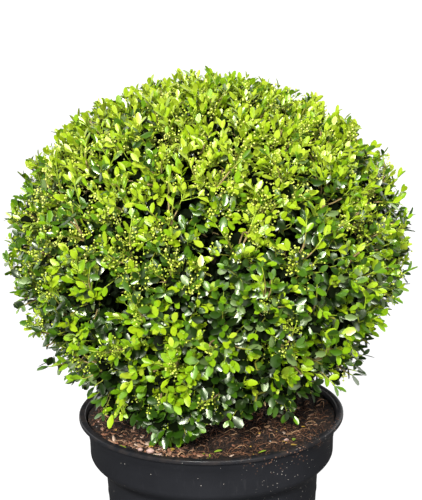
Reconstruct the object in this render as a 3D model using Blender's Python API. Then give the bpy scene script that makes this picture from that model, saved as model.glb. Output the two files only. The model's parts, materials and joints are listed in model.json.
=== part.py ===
"""Potted clipped holly ball: nursery container, potting soil, forked stem, boughs and one clipped crown.

Metres, +Z up. The origin is the centre of the container's flat underside. The side at -Y is the front,
where the crown's longest low sprays hang over the soil.
"""

import math
import random

import bmesh
import bpy
from mathutils import Matrix, Vector
from mathutils.bvhtree import BVHTree
from mathutils.geometry import interpolate_bezier

SEED = 43
CLEARANCE = 0.0003  # between pieces that touch

# Container
POT_HEIGHT = 0.310
RIM_RADIUS = 0.180
LIP_WIDTH = 0.009
LIP_HEIGHT = 0.0066
LIP_ROUNDING = 0.0018
LIP_NECK_DEPTH = 0.0009  # from the lip's underside down to the flare
FLARE_DEPTH = 0.022  # from the rim down to where the flare under the lip ends
COLLAR_TOP_RADIUS = 0.1685
COLLAR_MIDDLE_DEPTH = 0.036
COLLAR_RADIUS = 0.166
COLLAR_TAPER = 0.0003
COLLAR_DEPTH = 0.054  # from the rim down to where the shoulder starts
SHOULDER_DEPTH = 0.084  # from the rim down to where the body starts
SHOULDER_STEPS = 4
SHOULDER_FOOT_GROOVE = 0.0006  # how far the shoulder runs in under the body's top
BODY_TOP_DROP = 0.010  # from the shoulder's foot down to the body's widest place
BODY_RADIUS = 0.1445
BASE_RADIUS = 0.1310
FOOT_HEIGHT = 0.012  # where the wall starts to round in to its foot
FOOT_ROUNDING = 0.0030
WALL = 0.0025
FLOOR_TOP = 0.0070
RECESS_HEIGHT = 0.0040  # the underside is raised between its foot ring and its centre pad
RECESS_SLOPE = 0.003
FOOT_RING_RADIUS = 0.113  # of its inner edge
CENTRE_PAD_RADIUS = 0.032
POT_SEGMENTS = 40
DRAIN_HOLES = 8
DRAIN_HOLE_RADIUS = 0.008
DRAIN_HOLE_SIDES = 12
DRAIN_CIRCLE_RADIUS = 0.088

# Potting soil
SOIL_LEVEL = 0.298
SOIL_SIDE_GAP = 0.0005
SOIL_RELIEF = 0.0021
SOIL_FRONT_RISE = 0.0030
STEM_PAD_RADIUS = 0.036  # the level place where the stem stands
SOIL_RINGS = 7

# Stem and boughs
STEM_RADIUS = 0.0150
STEM_SIDES = 15
ROOT_LOBES = 5
ROOT_LOBE_DEPTH = 0.16  # of the radius at the foot
FLARE_RADIUS = 0.0260
FLARE_HEIGHT = 0.005  # up to here the stem stands upright, so that its cut foot is level
FORK_HEIGHT = 0.046  # of the fork's middle, above the soil
STEM_PROFILE = (  # the rise above the soil and the radius, from the flared foot over the fork's swelling
    (0.000, FLARE_RADIUS),
    (FLARE_HEIGHT, 0.0205),
    (0.013, 0.0168),
    (0.026, STEM_RADIUS),
    (0.036, 0.0155),
    (FORK_HEIGHT, 0.0160),
    (0.056, 0.0120),
    (0.061, 0.0060),
)
STEM_LEAN = Vector((0.004, -0.002, 0.0))
STUB_LENGTH = 0.027
STUB_SWELLING = 1.12  # of a stub's radius in the fork, over a bough's
BOUGH_RADIUS = 0.0085
BOUGH_TIP_RADIUS = 0.0050
FIRST_BOUGH_TURN = 0.25  # of the step from one side bough to the next
SIDE_BOUGH_SLOPE = math.radians(27.0)  # of its first stretch, above level
SLOPE_CHANGE = 0.10  # from bough to bough, in radians
SLOPE_WAVE = 2.3
SIDE_BOUGH_RISES = (0.12, -0.28, 0.34, -0.05, -0.30, 0.26)  # where each ends, as the Z of its direction
SIDE_BOUGHS = len(SIDE_BOUGH_RISES)
LEADER_WAY = Vector((0.05, 0.02, 1.0)).normalized()
LEADER_AIM = Vector((0.10, 0.05, 1.0)).normalized()
BOUGH_SIDES = 8
BOUGH_RINGS = 10
BOUGH_STRAIGHT = 0.004  # squarely out of its stub, before it bends
BOUGH_PULL = 0.35  # of its length, how far its curve follows the way at each end
SOCKET_DEPTH = 0.010  # how far a bough's tip stands in the crown's core

# Crown: one clipped mass, wider than it is tall
CROWN_CENTRE = Vector((0.0, 0.0, 0.543))
CROWN_RADIUS = 0.266
CROWN_HALF_HEIGHT = 0.224
OUTLINE_UNEVENNESS = 0.016
HOLLOW_SEGMENTS = 24
CORE_SHARE = 0.84  # of the outline
CORE_ROUGHNESS = 0.030
TWIG_ROOT_SHARE = 0.77
TWIG_TIP_SHARE = 0.935
REACH_SHARE = 1.015  # no leaf passes this share of the outline
SHOOTS = 130
SHOOTS_PER_SIDE_SPRIG = 3
LOWEST_SHOOT = -0.88  # the least Z of a shoot's direction: the middle of the underside is bare
UPWARD_TURN = 0.10
SHOOT_SWAY = 0.05
SHORTEST_SHOOT = 0.97  # of TWIG_TIP_SHARE
LONGEST_SHOOT = 1.01
TWIG_RADIUS = 0.0021
TWIG_TAPER = 0.6  # a twig's radius at its tip, as a share of its radius at the root
TWIG_NODES = (0.86,)  # shares of a twig's length
SIDE_SPRIG_SHARE = 0.60  # of the twig that carries it
SIDE_SPRIG_FORWARD = 0.6  # how far a side sprig follows its twig, for each part that it turns aside
SIDE_TWIG_LENGTH = 0.034
SIDE_TWIG_RADIUS = 0.8 * TWIG_RADIUS
NODE_HEIGHT = 0.0026
NODE_TWIST = math.radians(47.0)
LEAF_LENGTH = 0.044
SIDE_LEAF_LENGTH = 0.95 * LEAF_LENGTH
LEAF_WIDTH_SHARE = 0.60
LEAF_THICKNESS_SHARE = 0.055
LEAF_WIDEST_AT = 0.58
LEAF_TRIES = 4
ROOT_CHECK_GAP = 0.0002  # between a twig and the shape that a leaf is tested with
LEAF_SPLAY = (math.radians(52.0), math.radians(82.0))  # away from its twig
LEAF_SWING = 0.35
TIP_LEAF_SWING = 0.25
SHORTEST_LEAF = 0.82  # of LEAF_LENGTH
LONGEST_LEAF = 1.10
GOLDEN_ANGLE = math.pi * (3.0 - math.sqrt(5.0))
SOIL_AIR = 0.007  # the least height of a leaf above the soil
RIM_AIR = 0.006
HANGING_ZONE = SOIL_LEVEL + 0.09  # below this height, sprays may leave the clipped outline

# Low sprays that hang from the crown's front: where each twig ends
LOW_SPRAYS = (
    Vector((-0.128, -0.108, SOIL_LEVEL + 0.050)),
    Vector((-0.070, -0.122, SOIL_LEVEL + 0.034)),
    Vector((-0.034, -0.128, SOIL_LEVEL + 0.026)),
    Vector((0.004, -0.118, SOIL_LEVEL + 0.050)),
    Vector((0.086, -0.108, SOIL_LEVEL + 0.060)),
)
LOW_SPRAY_NODES = (0.45, 0.72, 0.95)
LOW_SPRAY_DROP = 0.95  # how far its root lies below the crown's centre, for each part outwards
LOW_SPRAY_RADIUS = 1.1 * TWIG_RADIUS
LOW_LEAF_LENGTH = 0.9 * LEAF_LENGTH


def clear_scene():
    for item in list(bpy.data.objects):
        bpy.data.objects.remove(item)


def make_material(name, colour, roughness):
    material = bpy.data.materials.new(name)
    material.use_nodes = True
    surface = material.node_tree.nodes["Principled BSDF"]
    surface.inputs["Base Color"].default_value = (*colour, 1.0)
    surface.inputs["Roughness"].default_value = roughness
    material.diffuse_color = (*colour, 1.0)
    return material


def mesh_from(bm, name):
    """The bmesh as a mesh of its own, with its faces pointing out."""
    bmesh.ops.recalc_face_normals(bm, faces=bm.faces)
    mesh = bpy.data.meshes.new(name)
    bm.to_mesh(mesh)
    bm.free()
    return mesh


def place(name, mesh, *materials, collection=None):
    for material in materials:
        mesh.materials.append(material)
    item = bpy.data.objects.new(name, mesh)
    (collection or bpy.context.scene.collection).objects.link(item)
    return item


def turned(profile, segments):
    """A bmesh turned about Z from (radius, height) points that begin and end on the axis."""
    bm = bmesh.new()
    points = [bm.verts.new((radius, 0.0, height)) for radius, height in profile]
    lines = [bm.edges.new(pair) for pair in zip(points, points[1:])]
    bmesh.ops.spin(
        bm, geom=points + lines, cent=(0, 0, 0), axis=(0, 0, 1), angle=2 * math.pi, steps=segments
    )
    bmesh.ops.remove_doubles(bm, verts=bm.verts, dist=1e-6)
    bmesh.ops.dissolve_degenerate(bm, dist=1e-7, edges=bm.edges)
    return bm


def apply_boolean(item, operation, tools):
    """Applies one Boolean with a collection of tools, then removes the tools."""
    modifier = item.modifiers.new(operation.title(), "BOOLEAN")
    modifier.operation = operation
    modifier.operand_type = "COLLECTION"
    modifier.collection = tools
    modifier.solver = "EXACT"
    modifier.material_mode = "TRANSFER"
    graph = bpy.context.evaluated_depsgraph_get()
    mesh = bpy.data.meshes.new_from_object(item.evaluated_get(graph))
    item.modifiers.remove(modifier)
    item.data = mesh
    for tool in list(tools.objects):
        bpy.data.objects.remove(tool)
    bpy.data.collections.remove(tools)


def tool_collection(name):
    tools = bpy.data.collections.new(name)
    bpy.context.scene.collection.children.link(tools)
    return tools


def shade_round(item, sharpest=35.0):
    """Shades smooth, apart from edges that turn more than sharpest degrees."""
    item.data.shade_smooth()
    item.data.set_sharp_from_angle(angle=math.radians(sharpest))


def between(first, last, share):
    return first + (last - first) * share


def outer_wall():
    """The container's outside from under its lip to its foot, as (radius, height) points."""
    shoulder_top = POT_HEIGHT - COLLAR_DEPTH
    shoulder_foot = POT_HEIGHT - SHOULDER_DEPTH
    points = [
        (RIM_RADIUS - LIP_WIDTH + WALL, POT_HEIGHT - LIP_HEIGHT - LIP_NECK_DEPTH),
        (COLLAR_TOP_RADIUS, POT_HEIGHT - FLARE_DEPTH),
        (COLLAR_RADIUS + COLLAR_TAPER, POT_HEIGHT - COLLAR_MIDDLE_DEPTH),
    ]
    for step in range(SHOULDER_STEPS):
        share = step / SHOULDER_STEPS
        sweep = 0.5 - 0.5 * math.cos(math.pi * share)
        points.append(
            (between(COLLAR_RADIUS, BODY_RADIUS, sweep), between(shoulder_top, shoulder_foot, share))
        )
    return [
        *points,
        (BODY_RADIUS - SHOULDER_FOOT_GROOVE, shoulder_foot),
        (BODY_RADIUS, shoulder_foot - BODY_TOP_DROP),
        (BASE_RADIUS + FOOT_ROUNDING / 5, FOOT_HEIGHT),
        (BASE_RADIUS - FOOT_ROUNDING / 6, FOOT_HEIGHT / 3),
        (BASE_RADIUS - FOOT_ROUNDING, 0.0),
    ]


def inner_wall(inset):
    """The container's inside from its rim to its floor, moved in by inset."""
    top, *middle = [(radius - WALL - inset, height) for radius, height in outer_wall()[:-3]]
    floor = FLOOR_TOP + inset
    floor_radius = BASE_RADIUS - WALL - inset
    return [
        (top[0], POT_HEIGHT - LIP_ROUNDING),
        *middle,
        (floor_radius + 0.0004, floor + 0.006),
        (floor_radius - 0.0040, floor),
    ]


def round_lip(inner_radius):
    """The lip from the inside of the rim over its top to its underside, as (radius, height) points."""
    soft = LIP_ROUNDING
    return [
        (inner_radius + soft, POT_HEIGHT),
        (RIM_RADIUS - soft, POT_HEIGHT - 0.2 * soft),
        (RIM_RADIUS, POT_HEIGHT - 1.2 * soft),
        (RIM_RADIUS, POT_HEIGHT - LIP_HEIGHT + soft),
        (RIM_RADIUS - soft, POT_HEIGHT - LIP_HEIGHT),
    ]


def make_pot(material):
    inner = inner_wall(0.0)
    underside = [
        (FOOT_RING_RADIUS, 0.0),
        (FOOT_RING_RADIUS - RECESS_SLOPE, RECESS_HEIGHT),
        (CENTRE_PAD_RADIUS + RECESS_SLOPE, RECESS_HEIGHT),
        (CENTRE_PAD_RADIUS, 0.0),
        (0.0, 0.0),
    ]
    profile = [(0.0, FLOOR_TOP), *reversed(inner), *round_lip(inner[0][0]), *outer_wall(), *underside]
    pot = place("pot", mesh_from(turned(profile, POT_SEGMENTS), "pot"), material)
    holes = tool_collection("drain_holes")
    for index in range(DRAIN_HOLES):
        around = Matrix.Rotation(2 * math.pi * (index + 0.5) / DRAIN_HOLES, 4, "Z")
        bm = bmesh.new()
        bmesh.ops.create_cone(
            bm,
            cap_ends=True,
            segments=DRAIN_HOLE_SIDES,
            radius1=DRAIN_HOLE_RADIUS,
            radius2=DRAIN_HOLE_RADIUS,
            depth=4 * FLOOR_TOP,
            matrix=around @ Matrix.Translation((DRAIN_CIRCLE_RADIUS, 0.0, 0.0)),
        )
        place(f"drain_hole_{index}", mesh_from(bm, "drain_hole"), collection=holes)
    apply_boolean(pot, "DIFFERENCE", holes)
    shade_round(pot)


def soil_relief(x, y):
    """The soil's height above its level, nought on the pad where the stem stands."""
    waves = math.sin(41 * x + 0.6) * math.cos(33 * y - 0.4) + 0.5 * math.sin(67 * y + 23 * x)
    forward = max(0.0, -y - 0.35 * x) / RIM_RADIUS
    off_pad = (math.hypot(x, y) - STEM_PAD_RADIUS) / STEM_PAD_RADIUS
    return (SOIL_RELIEF * waves + SOIL_FRONT_RISE * forward) * min(1.0, max(0.0, off_pad))


def make_soil(material):
    top, *wall = inner_wall(SOIL_SIDE_GAP)[1:]
    rings = [
        (between(STEM_PAD_RADIUS, between(wall[0][0], top[0], 0.5), index / SOIL_RINGS), SOIL_LEVEL)
        for index in range(SOIL_RINGS + 1)
    ]
    profile = [(0.0, SOIL_LEVEL), *rings, *wall, (0.0, wall[-1][1])]
    bm = turned(profile, POT_SEGMENTS)
    for vert in bm.verts:
        if abs(vert.co.z - SOIL_LEVEL) < 1e-6:
            vert.co.z += soil_relief(vert.co.x, vert.co.y)
    soil = place("soil", mesh_from(bm, "soil"), material)
    shade_round(soil, 60.0)


def tube(route, radii, sides, lobe_depth=0.0):
    """A bmesh tube along route, closed at both ends, with root lobes that fade out over its first rings."""
    bm = bmesh.new()
    rings = []
    side_way = None
    for index, point in enumerate(route):
        ahead = route[min(index + 1, len(route) - 1)]
        behind = route[max(index - 1, 0)]
        along = (ahead - behind).normalized()
        guide = side_way if side_way is not None else along.orthogonal()
        side_way = (guide - along * guide.dot(along)).normalized()
        other_way = along.cross(side_way)
        lobe_here = lobe_depth * max(0.0, 1.0 - index / 3)
        ring = []
        for step in range(sides):
            turn = 2 * math.pi * step / sides
            radius = radii[index] * (1.0 + lobe_here * math.cos(ROOT_LOBES * turn))
            offset = side_way * math.cos(turn) + other_way * math.sin(turn)
            ring.append(bm.verts.new(point + offset * radius))
        rings.append(ring)
    for lower, upper in zip(rings, rings[1:]):
        for step in range(sides):
            after = (step + 1) % sides
            bm.faces.new((lower[step], lower[after], upper[after], upper[step]))
    bm.faces.new(reversed(rings[0]))
    bm.faces.new(rings[-1])
    return bm


def fork_point():
    return Vector((0.0, 0.0, SOIL_LEVEL + FORK_HEIGHT)) + STEM_LEAN


def bough_ways():
    """The direction in which each bough leaves the fork: the side boughs in turn, then the leader."""
    ways = []
    for index in range(SIDE_BOUGHS):
        around = 2 * math.pi * (index + FIRST_BOUGH_TURN) / SIDE_BOUGHS
        slope = SIDE_BOUGH_SLOPE + SLOPE_CHANGE * math.sin(SLOPE_WAVE * index)
        level = math.cos(slope)
        ways.append(Vector((math.cos(around) * level, math.sin(around) * level, math.sin(slope))))
    return [*ways, LEADER_WAY]


def make_stem(material):
    foot = Vector((0.0, 0.0, SOIL_LEVEL + CLEARANCE))
    fork = fork_point()
    route = []
    for rise, _ in STEM_PROFILE:
        lean = max(0.0, (rise - FLARE_HEIGHT) / (FORK_HEIGHT - FLARE_HEIGHT))
        route.append(foot + Vector((0, 0, rise)) + STEM_LEAN * min(1.0, lean))
    trunk = tube(route, [radius for _, radius in STEM_PROFILE], STEM_SIDES, ROOT_LOBE_DEPTH)
    stem = place("stem", mesh_from(trunk, "stem"), material)
    stubs = tool_collection("fork_stubs")
    radii = [BOUGH_RADIUS * STUB_SWELLING, BOUGH_RADIUS]
    for index, way in enumerate(bough_ways()):
        bm = tube([fork, fork + way * STUB_LENGTH], radii, BOUGH_SIDES)
        place(f"fork_stub_{index}", mesh_from(bm, "fork_stub"), collection=stubs)
    apply_boolean(stem, "UNION", stubs)
    shade_round(stem, 50.0)
    return stem


def unevenness(way):
    """How the clipped outline comes and goes round the crown, between about -1 and 1."""
    around = math.atan2(way.y, way.x)
    return 0.6 * math.sin(3 * around + 1.1) * way.z + 0.4 * math.sin(5 * around + 7 * way.z - 1.1)


def outline(way):
    """How far the crown reaches from its centre along a unit direction."""
    level = (way.x * way.x + way.y * way.y) / CROWN_RADIUS**2
    upright = way.z * way.z / CROWN_HALF_HEIGHT**2
    return (1.0 + OUTLINE_UNEVENNESS * unevenness(way)) / math.sqrt(level + upright)


def share_of_outline(point):
    away = point - CROWN_CENTRE
    return away.length / outline(away.normalized())


def hollow_profile():
    """The open space inside the crown's core, which holds the boughs, from its top to its mouth."""
    heights_above_centre = (
        (0.000, 0.100),
        (0.052, 0.094),
        (0.094, 0.072),
        (0.126, 0.032),
        (0.138, -0.020),
        (0.132, -0.080),
        (0.112, -0.132),
        (0.084, -0.172),
        (0.084, -CROWN_HALF_HEIGHT),
        (0.000, -CROWN_HALF_HEIGHT),
    )
    return [(radius, CROWN_CENTRE.z + height) for radius, height in heights_above_centre]


def hollow_reach(way):
    """How far the hollow's wall is from the crown's centre along a unit direction."""
    level = math.hypot(way.x, way.y)
    points = [(radius, height - CROWN_CENTRE.z) for radius, height in hollow_profile()[:-1]]
    for (upper_radius, upper), (lower_radius, lower) in zip(points, points[1:]):
        before = way.z * upper_radius - level * upper
        after = way.z * lower_radius - level * lower
        if before <= 0.0 <= after:
            share = before / (before - after)
            return math.hypot(between(upper_radius, lower_radius, share), between(upper, lower, share))
    return points[0][1]


def bough_routes():
    """The line of each bough from its stub to its tip in the crown's core."""
    routes = []
    for index, way in enumerate(bough_ways()):
        start = fork_point() + way * (STUB_LENGTH + CLEARANCE)
        aim = LEADER_AIM
        if index < SIDE_BOUGHS:
            level_way = Vector((way.x, way.y, 0.0)).normalized()
            aim = (level_way + Vector((0, 0, SIDE_BOUGH_RISES[index]))).normalized()
        end = CROWN_CENTRE + aim * (hollow_reach(aim) + SOCKET_DEPTH)
        bend = start + way * BOUGH_STRAIGHT
        pull = BOUGH_PULL * (end - bend).length
        curve = interpolate_bezier(bend, bend + way * pull, end - aim * pull, end, BOUGH_RINGS - 1)
        routes.append([start, *curve])
    return routes


def bough_radii():
    shares = [index / (BOUGH_RINGS - 1) for index in range(BOUGH_RINGS)]
    return [between(BOUGH_RADIUS, BOUGH_TIP_RADIUS, share) for share in shares]


def make_boughs(material):
    boughs = []
    for index, route in enumerate(bough_routes()):
        name = "leader_bough" if index == SIDE_BOUGHS else f"side_bough_{index + 1}"
        bough = place(name, mesh_from(tube(route, bough_radii(), BOUGH_SIDES), name), material)
        shade_round(bough, 50.0)
        boughs.append(bough)
    return boughs


def make_core(material):
    """The crown's inner mass: a rough shell, hollow below, cut clear of each bough and its tip."""
    bm = bmesh.new()
    bmesh.ops.create_icosphere(bm, subdivisions=3, radius=1.0)
    rng = random.Random(SEED)
    for vert in bm.verts:
        way = vert.co.normalized()
        share = CORE_SHARE + rng.uniform(-CORE_ROUGHNESS, CORE_ROUGHNESS)
        vert.co = CROWN_CENTRE + way * outline(way) * share
    core = place("crown", mesh_from(bm, "crown"), material)
    spaces = tool_collection("core_spaces")
    hollow = turned(hollow_profile(), HOLLOW_SEGMENTS)
    place("hollow", mesh_from(hollow, "hollow"), collection=spaces)
    radii = [radius + CLEARANCE for radius in (*bough_radii(), BOUGH_TIP_RADIUS)]
    for index, route in enumerate(bough_routes()):
        beyond_tip = route[-1] + (route[-1] - route[-2]).normalized() * CLEARANCE
        way_round = tube([*route, beyond_tip], radii, BOUGH_SIDES)
        place(f"way_round_{index}", mesh_from(way_round, "way_round"), collection=spaces)
    apply_boolean(core, "DIFFERENCE", spaces)
    return core


class Growth:
    """The crown's sprigs, gathered for one union, and the surfaces that the next leaf keeps clear of."""

    def __init__(self, core, limbs, materials):
        self.tools = tool_collection("crown_growth")
        self.materials = materials
        self.surfaces = []
        for item in (core, *limbs):
            faces = [tuple(face.vertices) for face in item.data.polygons]
            self.note([vert.co.copy() for vert in item.data.vertices], faces)

    def note(self, points, faces):
        """Adds a surface to keep clear of, and hands it back."""
        self.surfaces.append((*span_of(points), BVHTree.FromPolygons(points, faces)))
        return self.surfaces[-1]

    def is_clear(self, points, faces, carrier=None):
        """True where a shape touches no surface but its carrier's."""
        middle, reach = span_of(points)
        tree = BVHTree.FromPolygons(points, faces)
        for surface in self.surfaces:
            other_middle, other_reach, other_tree = surface
            near = (other_middle - middle).length < other_reach + reach
            if surface is not carrier and near and other_tree.overlap(tree):
                return False
        return True

    def add(self, bm):
        name = f"sprig_{len(self.tools.objects)}"
        place(name, mesh_from(bm, name), *self.materials, collection=self.tools)


def span_of(points):
    """The middle of some points and the distance of the furthest one."""
    middle = sum(points, Vector()) / len(points)
    return middle, max((point - middle).length for point in points)


def blade_points(root, way, face, length):
    """The bottom, right, top, left and tip of a leaf, thickest and widest LEAF_WIDEST_AT of the way along."""
    across = face.cross(way).normalized()
    up = way.cross(across).normalized()
    widest = root + way * length * LEAF_WIDEST_AT
    half_width = 0.5 * length * LEAF_WIDTH_SHARE
    half_thickness = 0.5 * length * LEAF_THICKNESS_SHARE
    return [
        widest - up * half_thickness,
        widest + across * half_width,
        widest + up * half_thickness,
        widest - across * half_width,
        root + way * length,
    ]


def blade_faces(root_count):
    """The faces of a leaf on a root of 3 or 4 corners, which follow its five points."""
    root = range(5, 5 + root_count)
    faces = [(0, 1, 4), (1, 2, 4), (2, 3, 4), (3, 0, 4)]
    for step in range(root_count):
        here, after = root[step], root[(step + 1) % root_count]
        faces += [(here, after, step), (after, (step + 1) % 4, step)]
    return faces if root_count == 4 else [*faces, (root[0], 0, 3)]


def within_space(points):
    """True where points keep inside the outline and clear of the soil and the container's rim."""
    for point in points:
        if share_of_outline(point) > REACH_SHARE and point.z > HANGING_ZONE:
            return False
        by_rim = math.hypot(point.x, point.y) > COLLAR_RADIUS - LEAF_LENGTH / 3
        if point.z < (POT_HEIGHT + RIM_AIR if by_rim else SOIL_LEVEL + SOIL_AIR):
            return False
    return True


def choose_blade(growth, root_corners, along, outward, length, rng):
    """The points of a leaf that touches nothing but its own twig, or None. A tip leaf has no outward way."""
    root = sum(root_corners, Vector()) / len(root_corners)
    faces = blade_faces(len(root_corners))
    for _ in range(LEAF_TRIES):
        if outward is None:
            swing = Vector([rng.uniform(-TIP_LEAF_SWING, TIP_LEAF_SWING) for _ in range(3)])
            way = (along + swing).normalized()
            face = (root_corners[-1] - root).normalized()
        else:
            splay = rng.uniform(*LEAF_SPLAY)
            sideways = Matrix.Rotation(rng.uniform(-LEAF_SWING, LEAF_SWING), 3, along) @ outward
            way = (along * math.cos(splay) + sideways * math.sin(splay)).normalized()
            face = along
        points = blade_points(root, way, face, length * rng.uniform(SHORTEST_LEAF, LONGEST_LEAF))
        clear_of_root = [corner + way * ROOT_CHECK_GAP for corner in root_corners]
        if within_space(points) and growth.is_clear(points + clear_of_root, faces):
            growth.note(points + clear_of_root, faces)
            return points
    return None


def leaf_on(bm, growth, root_verts, along, outward, length, rng):
    """Draws a leaf out of the root corners' own face, or closes the face where no leaf fits."""
    points = choose_blade(growth, [vert.co for vert in root_verts], along, outward, length, rng)
    if points is None:
        bm.faces.new(root_verts)
        return
    corners = [bm.verts.new(point) for point in points] + root_verts
    for face in blade_faces(len(root_verts)):
        bm.faces.new([corners[corner] for corner in face]).material_index = 1


def twig_corners(route, radius, node_shares, turn):
    """Rings of three corners from a twig's root to its tip, with a short step at each node."""
    start, end = route
    along = (end - start).normalized()
    side_way = Matrix.Rotation(turn, 3, along) @ along.orthogonal().normalized()
    half_node = NODE_HEIGHT / (end - start).length / 2
    rings = [(0.0, 0)]
    for number, share in enumerate(node_shares, start=1):
        rings += [(share - half_node, number), (share + half_node, number)]
    corners = []
    for share, twists in rings:
        reach = side_way * radius * between(1.0, TWIG_TAPER, share)
        for step in range(3):
            around = Matrix.Rotation(NODE_TWIST * twists + 2 * math.pi * step / 3, 3, along)
            corners.append(between(start, end, share) + around @ reach)
    return corners


def grow_sprig(growth, route, radius, node_shares, length, rng, carrier=None):
    """A three-sided twig with a leaf out of each side at each node and one at its tip, all one body."""
    start, end = route
    along = (end - start).normalized()
    corners = twig_corners(route, radius, node_shares, rng.uniform(0.0, 2 * math.pi))
    walls = []
    for first in range(0, len(corners) - 3, 3):
        for step in range(3):
            after = (step + 1) % 3
            walls.append((first + step, first + after, first + 3 + after, first + 3 + step))
    if carrier and not (within_space(corners[-3:]) and growth.is_clear(corners, walls, carrier)):
        return None
    surface = growth.note(corners, walls)
    bm = bmesh.new()
    verts = [bm.verts.new(corner) for corner in corners]
    bm.faces.new(verts[2::-1])
    for number, wall in enumerate(walls):
        sides = [verts[corner] for corner in wall]
        at_node = (number // 3) % 2 == 1
        if at_node:
            middle = sum((vert.co for vert in sides), Vector()) / 4
            outward = middle - start
            outward -= along * outward.dot(along)
            leaf_on(bm, growth, sides, along, outward.normalized(), length, rng)
        else:
            bm.faces.new(sides)
    leaf_on(bm, growth, [verts[-2], verts[-1], verts[-3]], along, None, length, rng)
    growth.add(bm)
    return surface


def grow_shoot(growth, way, branches, rng):
    """One shoot of the clipped surface: a sprig with its root sunk in the core, and perhaps a side sprig."""
    sway = Vector([rng.uniform(-SHOOT_SWAY, SHOOT_SWAY) for _ in range(3)])
    turned_up = (way + Vector((0, 0, UPWARD_TURN)) + sway).normalized()
    root = CROWN_CENTRE + way * outline(way) * TWIG_ROOT_SHARE
    reach = outline(turned_up) * TWIG_TIP_SHARE * rng.uniform(SHORTEST_SHOOT, LONGEST_SHOOT)
    tip = CROWN_CENTRE + turned_up * reach
    twig = grow_sprig(growth, (root, tip), TWIG_RADIUS, TWIG_NODES, LEAF_LENGTH, rng)
    if not branches:
        return
    fork = between(root, tip, SIDE_SPRIG_SHARE)
    aside = Matrix.Rotation(rng.uniform(0, 2 * math.pi), 3, way) @ way.orthogonal().normalized()
    side_way = (turned_up * SIDE_SPRIG_FORWARD + aside).normalized()
    side_route = (fork, fork + side_way * SIDE_TWIG_LENGTH)
    grow_sprig(growth, side_route, SIDE_TWIG_RADIUS, TWIG_NODES, SIDE_LEAF_LENGTH, rng, twig)


def grow_low_spray(growth, end, rng):
    """A drooping shoot from the crown's low front, whose leafy end hangs over the soil."""
    away = Vector((end.x, end.y, 0.0)).normalized()
    way = (away - Vector((0, 0, LOW_SPRAY_DROP))).normalized()
    root = CROWN_CENTRE + way * outline(way) * TWIG_ROOT_SHARE
    grow_sprig(growth, (root, end), LOW_SPRAY_RADIUS, LOW_SPRAY_NODES, LOW_LEAF_LENGTH, rng)


def shoot_ways():
    """Directions spread evenly over the crown, leaving out the bare middle of its underside."""
    for index in range(SHOOTS):
        height = 1.0 - (1.0 - LOWEST_SHOOT) * (index + 0.5) / SHOOTS
        level = math.sqrt(1.0 - height * height)
        around = index * GOLDEN_ANGLE
        yield Vector((level * math.cos(around), level * math.sin(around), height))


def keep_main_shell(item):
    """Keeps a fused mass's largest closed surface: fills sealed hollows and drops loose scraps."""
    bm = bmesh.new()
    bm.from_mesh(item.data)
    left = set(bm.faces)
    shells = []
    while left:
        reached = [left.pop()]
        shell = set(reached)
        while reached:
            for edge in reached.pop().edges:
                beyond = left.intersection(edge.link_faces)
                left -= beyond
                shell |= beyond
                reached += beyond
        shells.append(shell)
    main = max(shells, key=len)
    bmesh.ops.delete(bm, geom=[face for face in bm.faces if face not in main], context="FACES")
    bm.to_mesh(item.data)
    bm.free()


def make_crown(core_material, leaf_material, twig_material, limbs):
    crown = make_core(core_material)
    growth = Growth(crown, limbs, (twig_material, leaf_material))
    rng = random.Random(SEED)
    for end in LOW_SPRAYS:
        grow_low_spray(growth, end, rng)
    for index, way in enumerate(shoot_ways()):
        grow_shoot(growth, way, index % SHOOTS_PER_SIDE_SPRIG == 0, rng)
    apply_boolean(crown, "UNION", growth.tools)
    keep_main_shell(crown)


def main():
    clear_scene()
    bark = make_material("bark", (0.20, 0.16, 0.11), 0.85)
    make_pot(make_material("black_plastic", (0.022, 0.023, 0.026), 0.42))
    make_soil(make_material("potting_soil", (0.060, 0.034, 0.020), 0.95))
    limbs = [make_stem(bark), *make_boughs(bark)]
    make_crown(
        make_material("inner_foliage", (0.022, 0.060, 0.012), 0.70),
        make_material("leaf", (0.150, 0.330, 0.030), 0.38),
        make_material("green_twig", (0.260, 0.300, 0.070), 0.60),
        limbs,
    )


main()
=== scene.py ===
"""Looks of a potted holly clipped to a ball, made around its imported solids.

The crown grows by the rule of its solid: shoots are set out evenly over the clipped outline. Here each
one is a branch that leaves the nearest wood, and finer twigs, side sprigs, leaves and flower buds grow
out of the branches. Metres, +Z up, with the photograph's viewer at -Y.
"""

import json
import math
import random

import bmesh
import bpy
import numpy as np
from mathutils import Matrix, Vector, noise
from mathutils.geometry import interpolate_bezier

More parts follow.
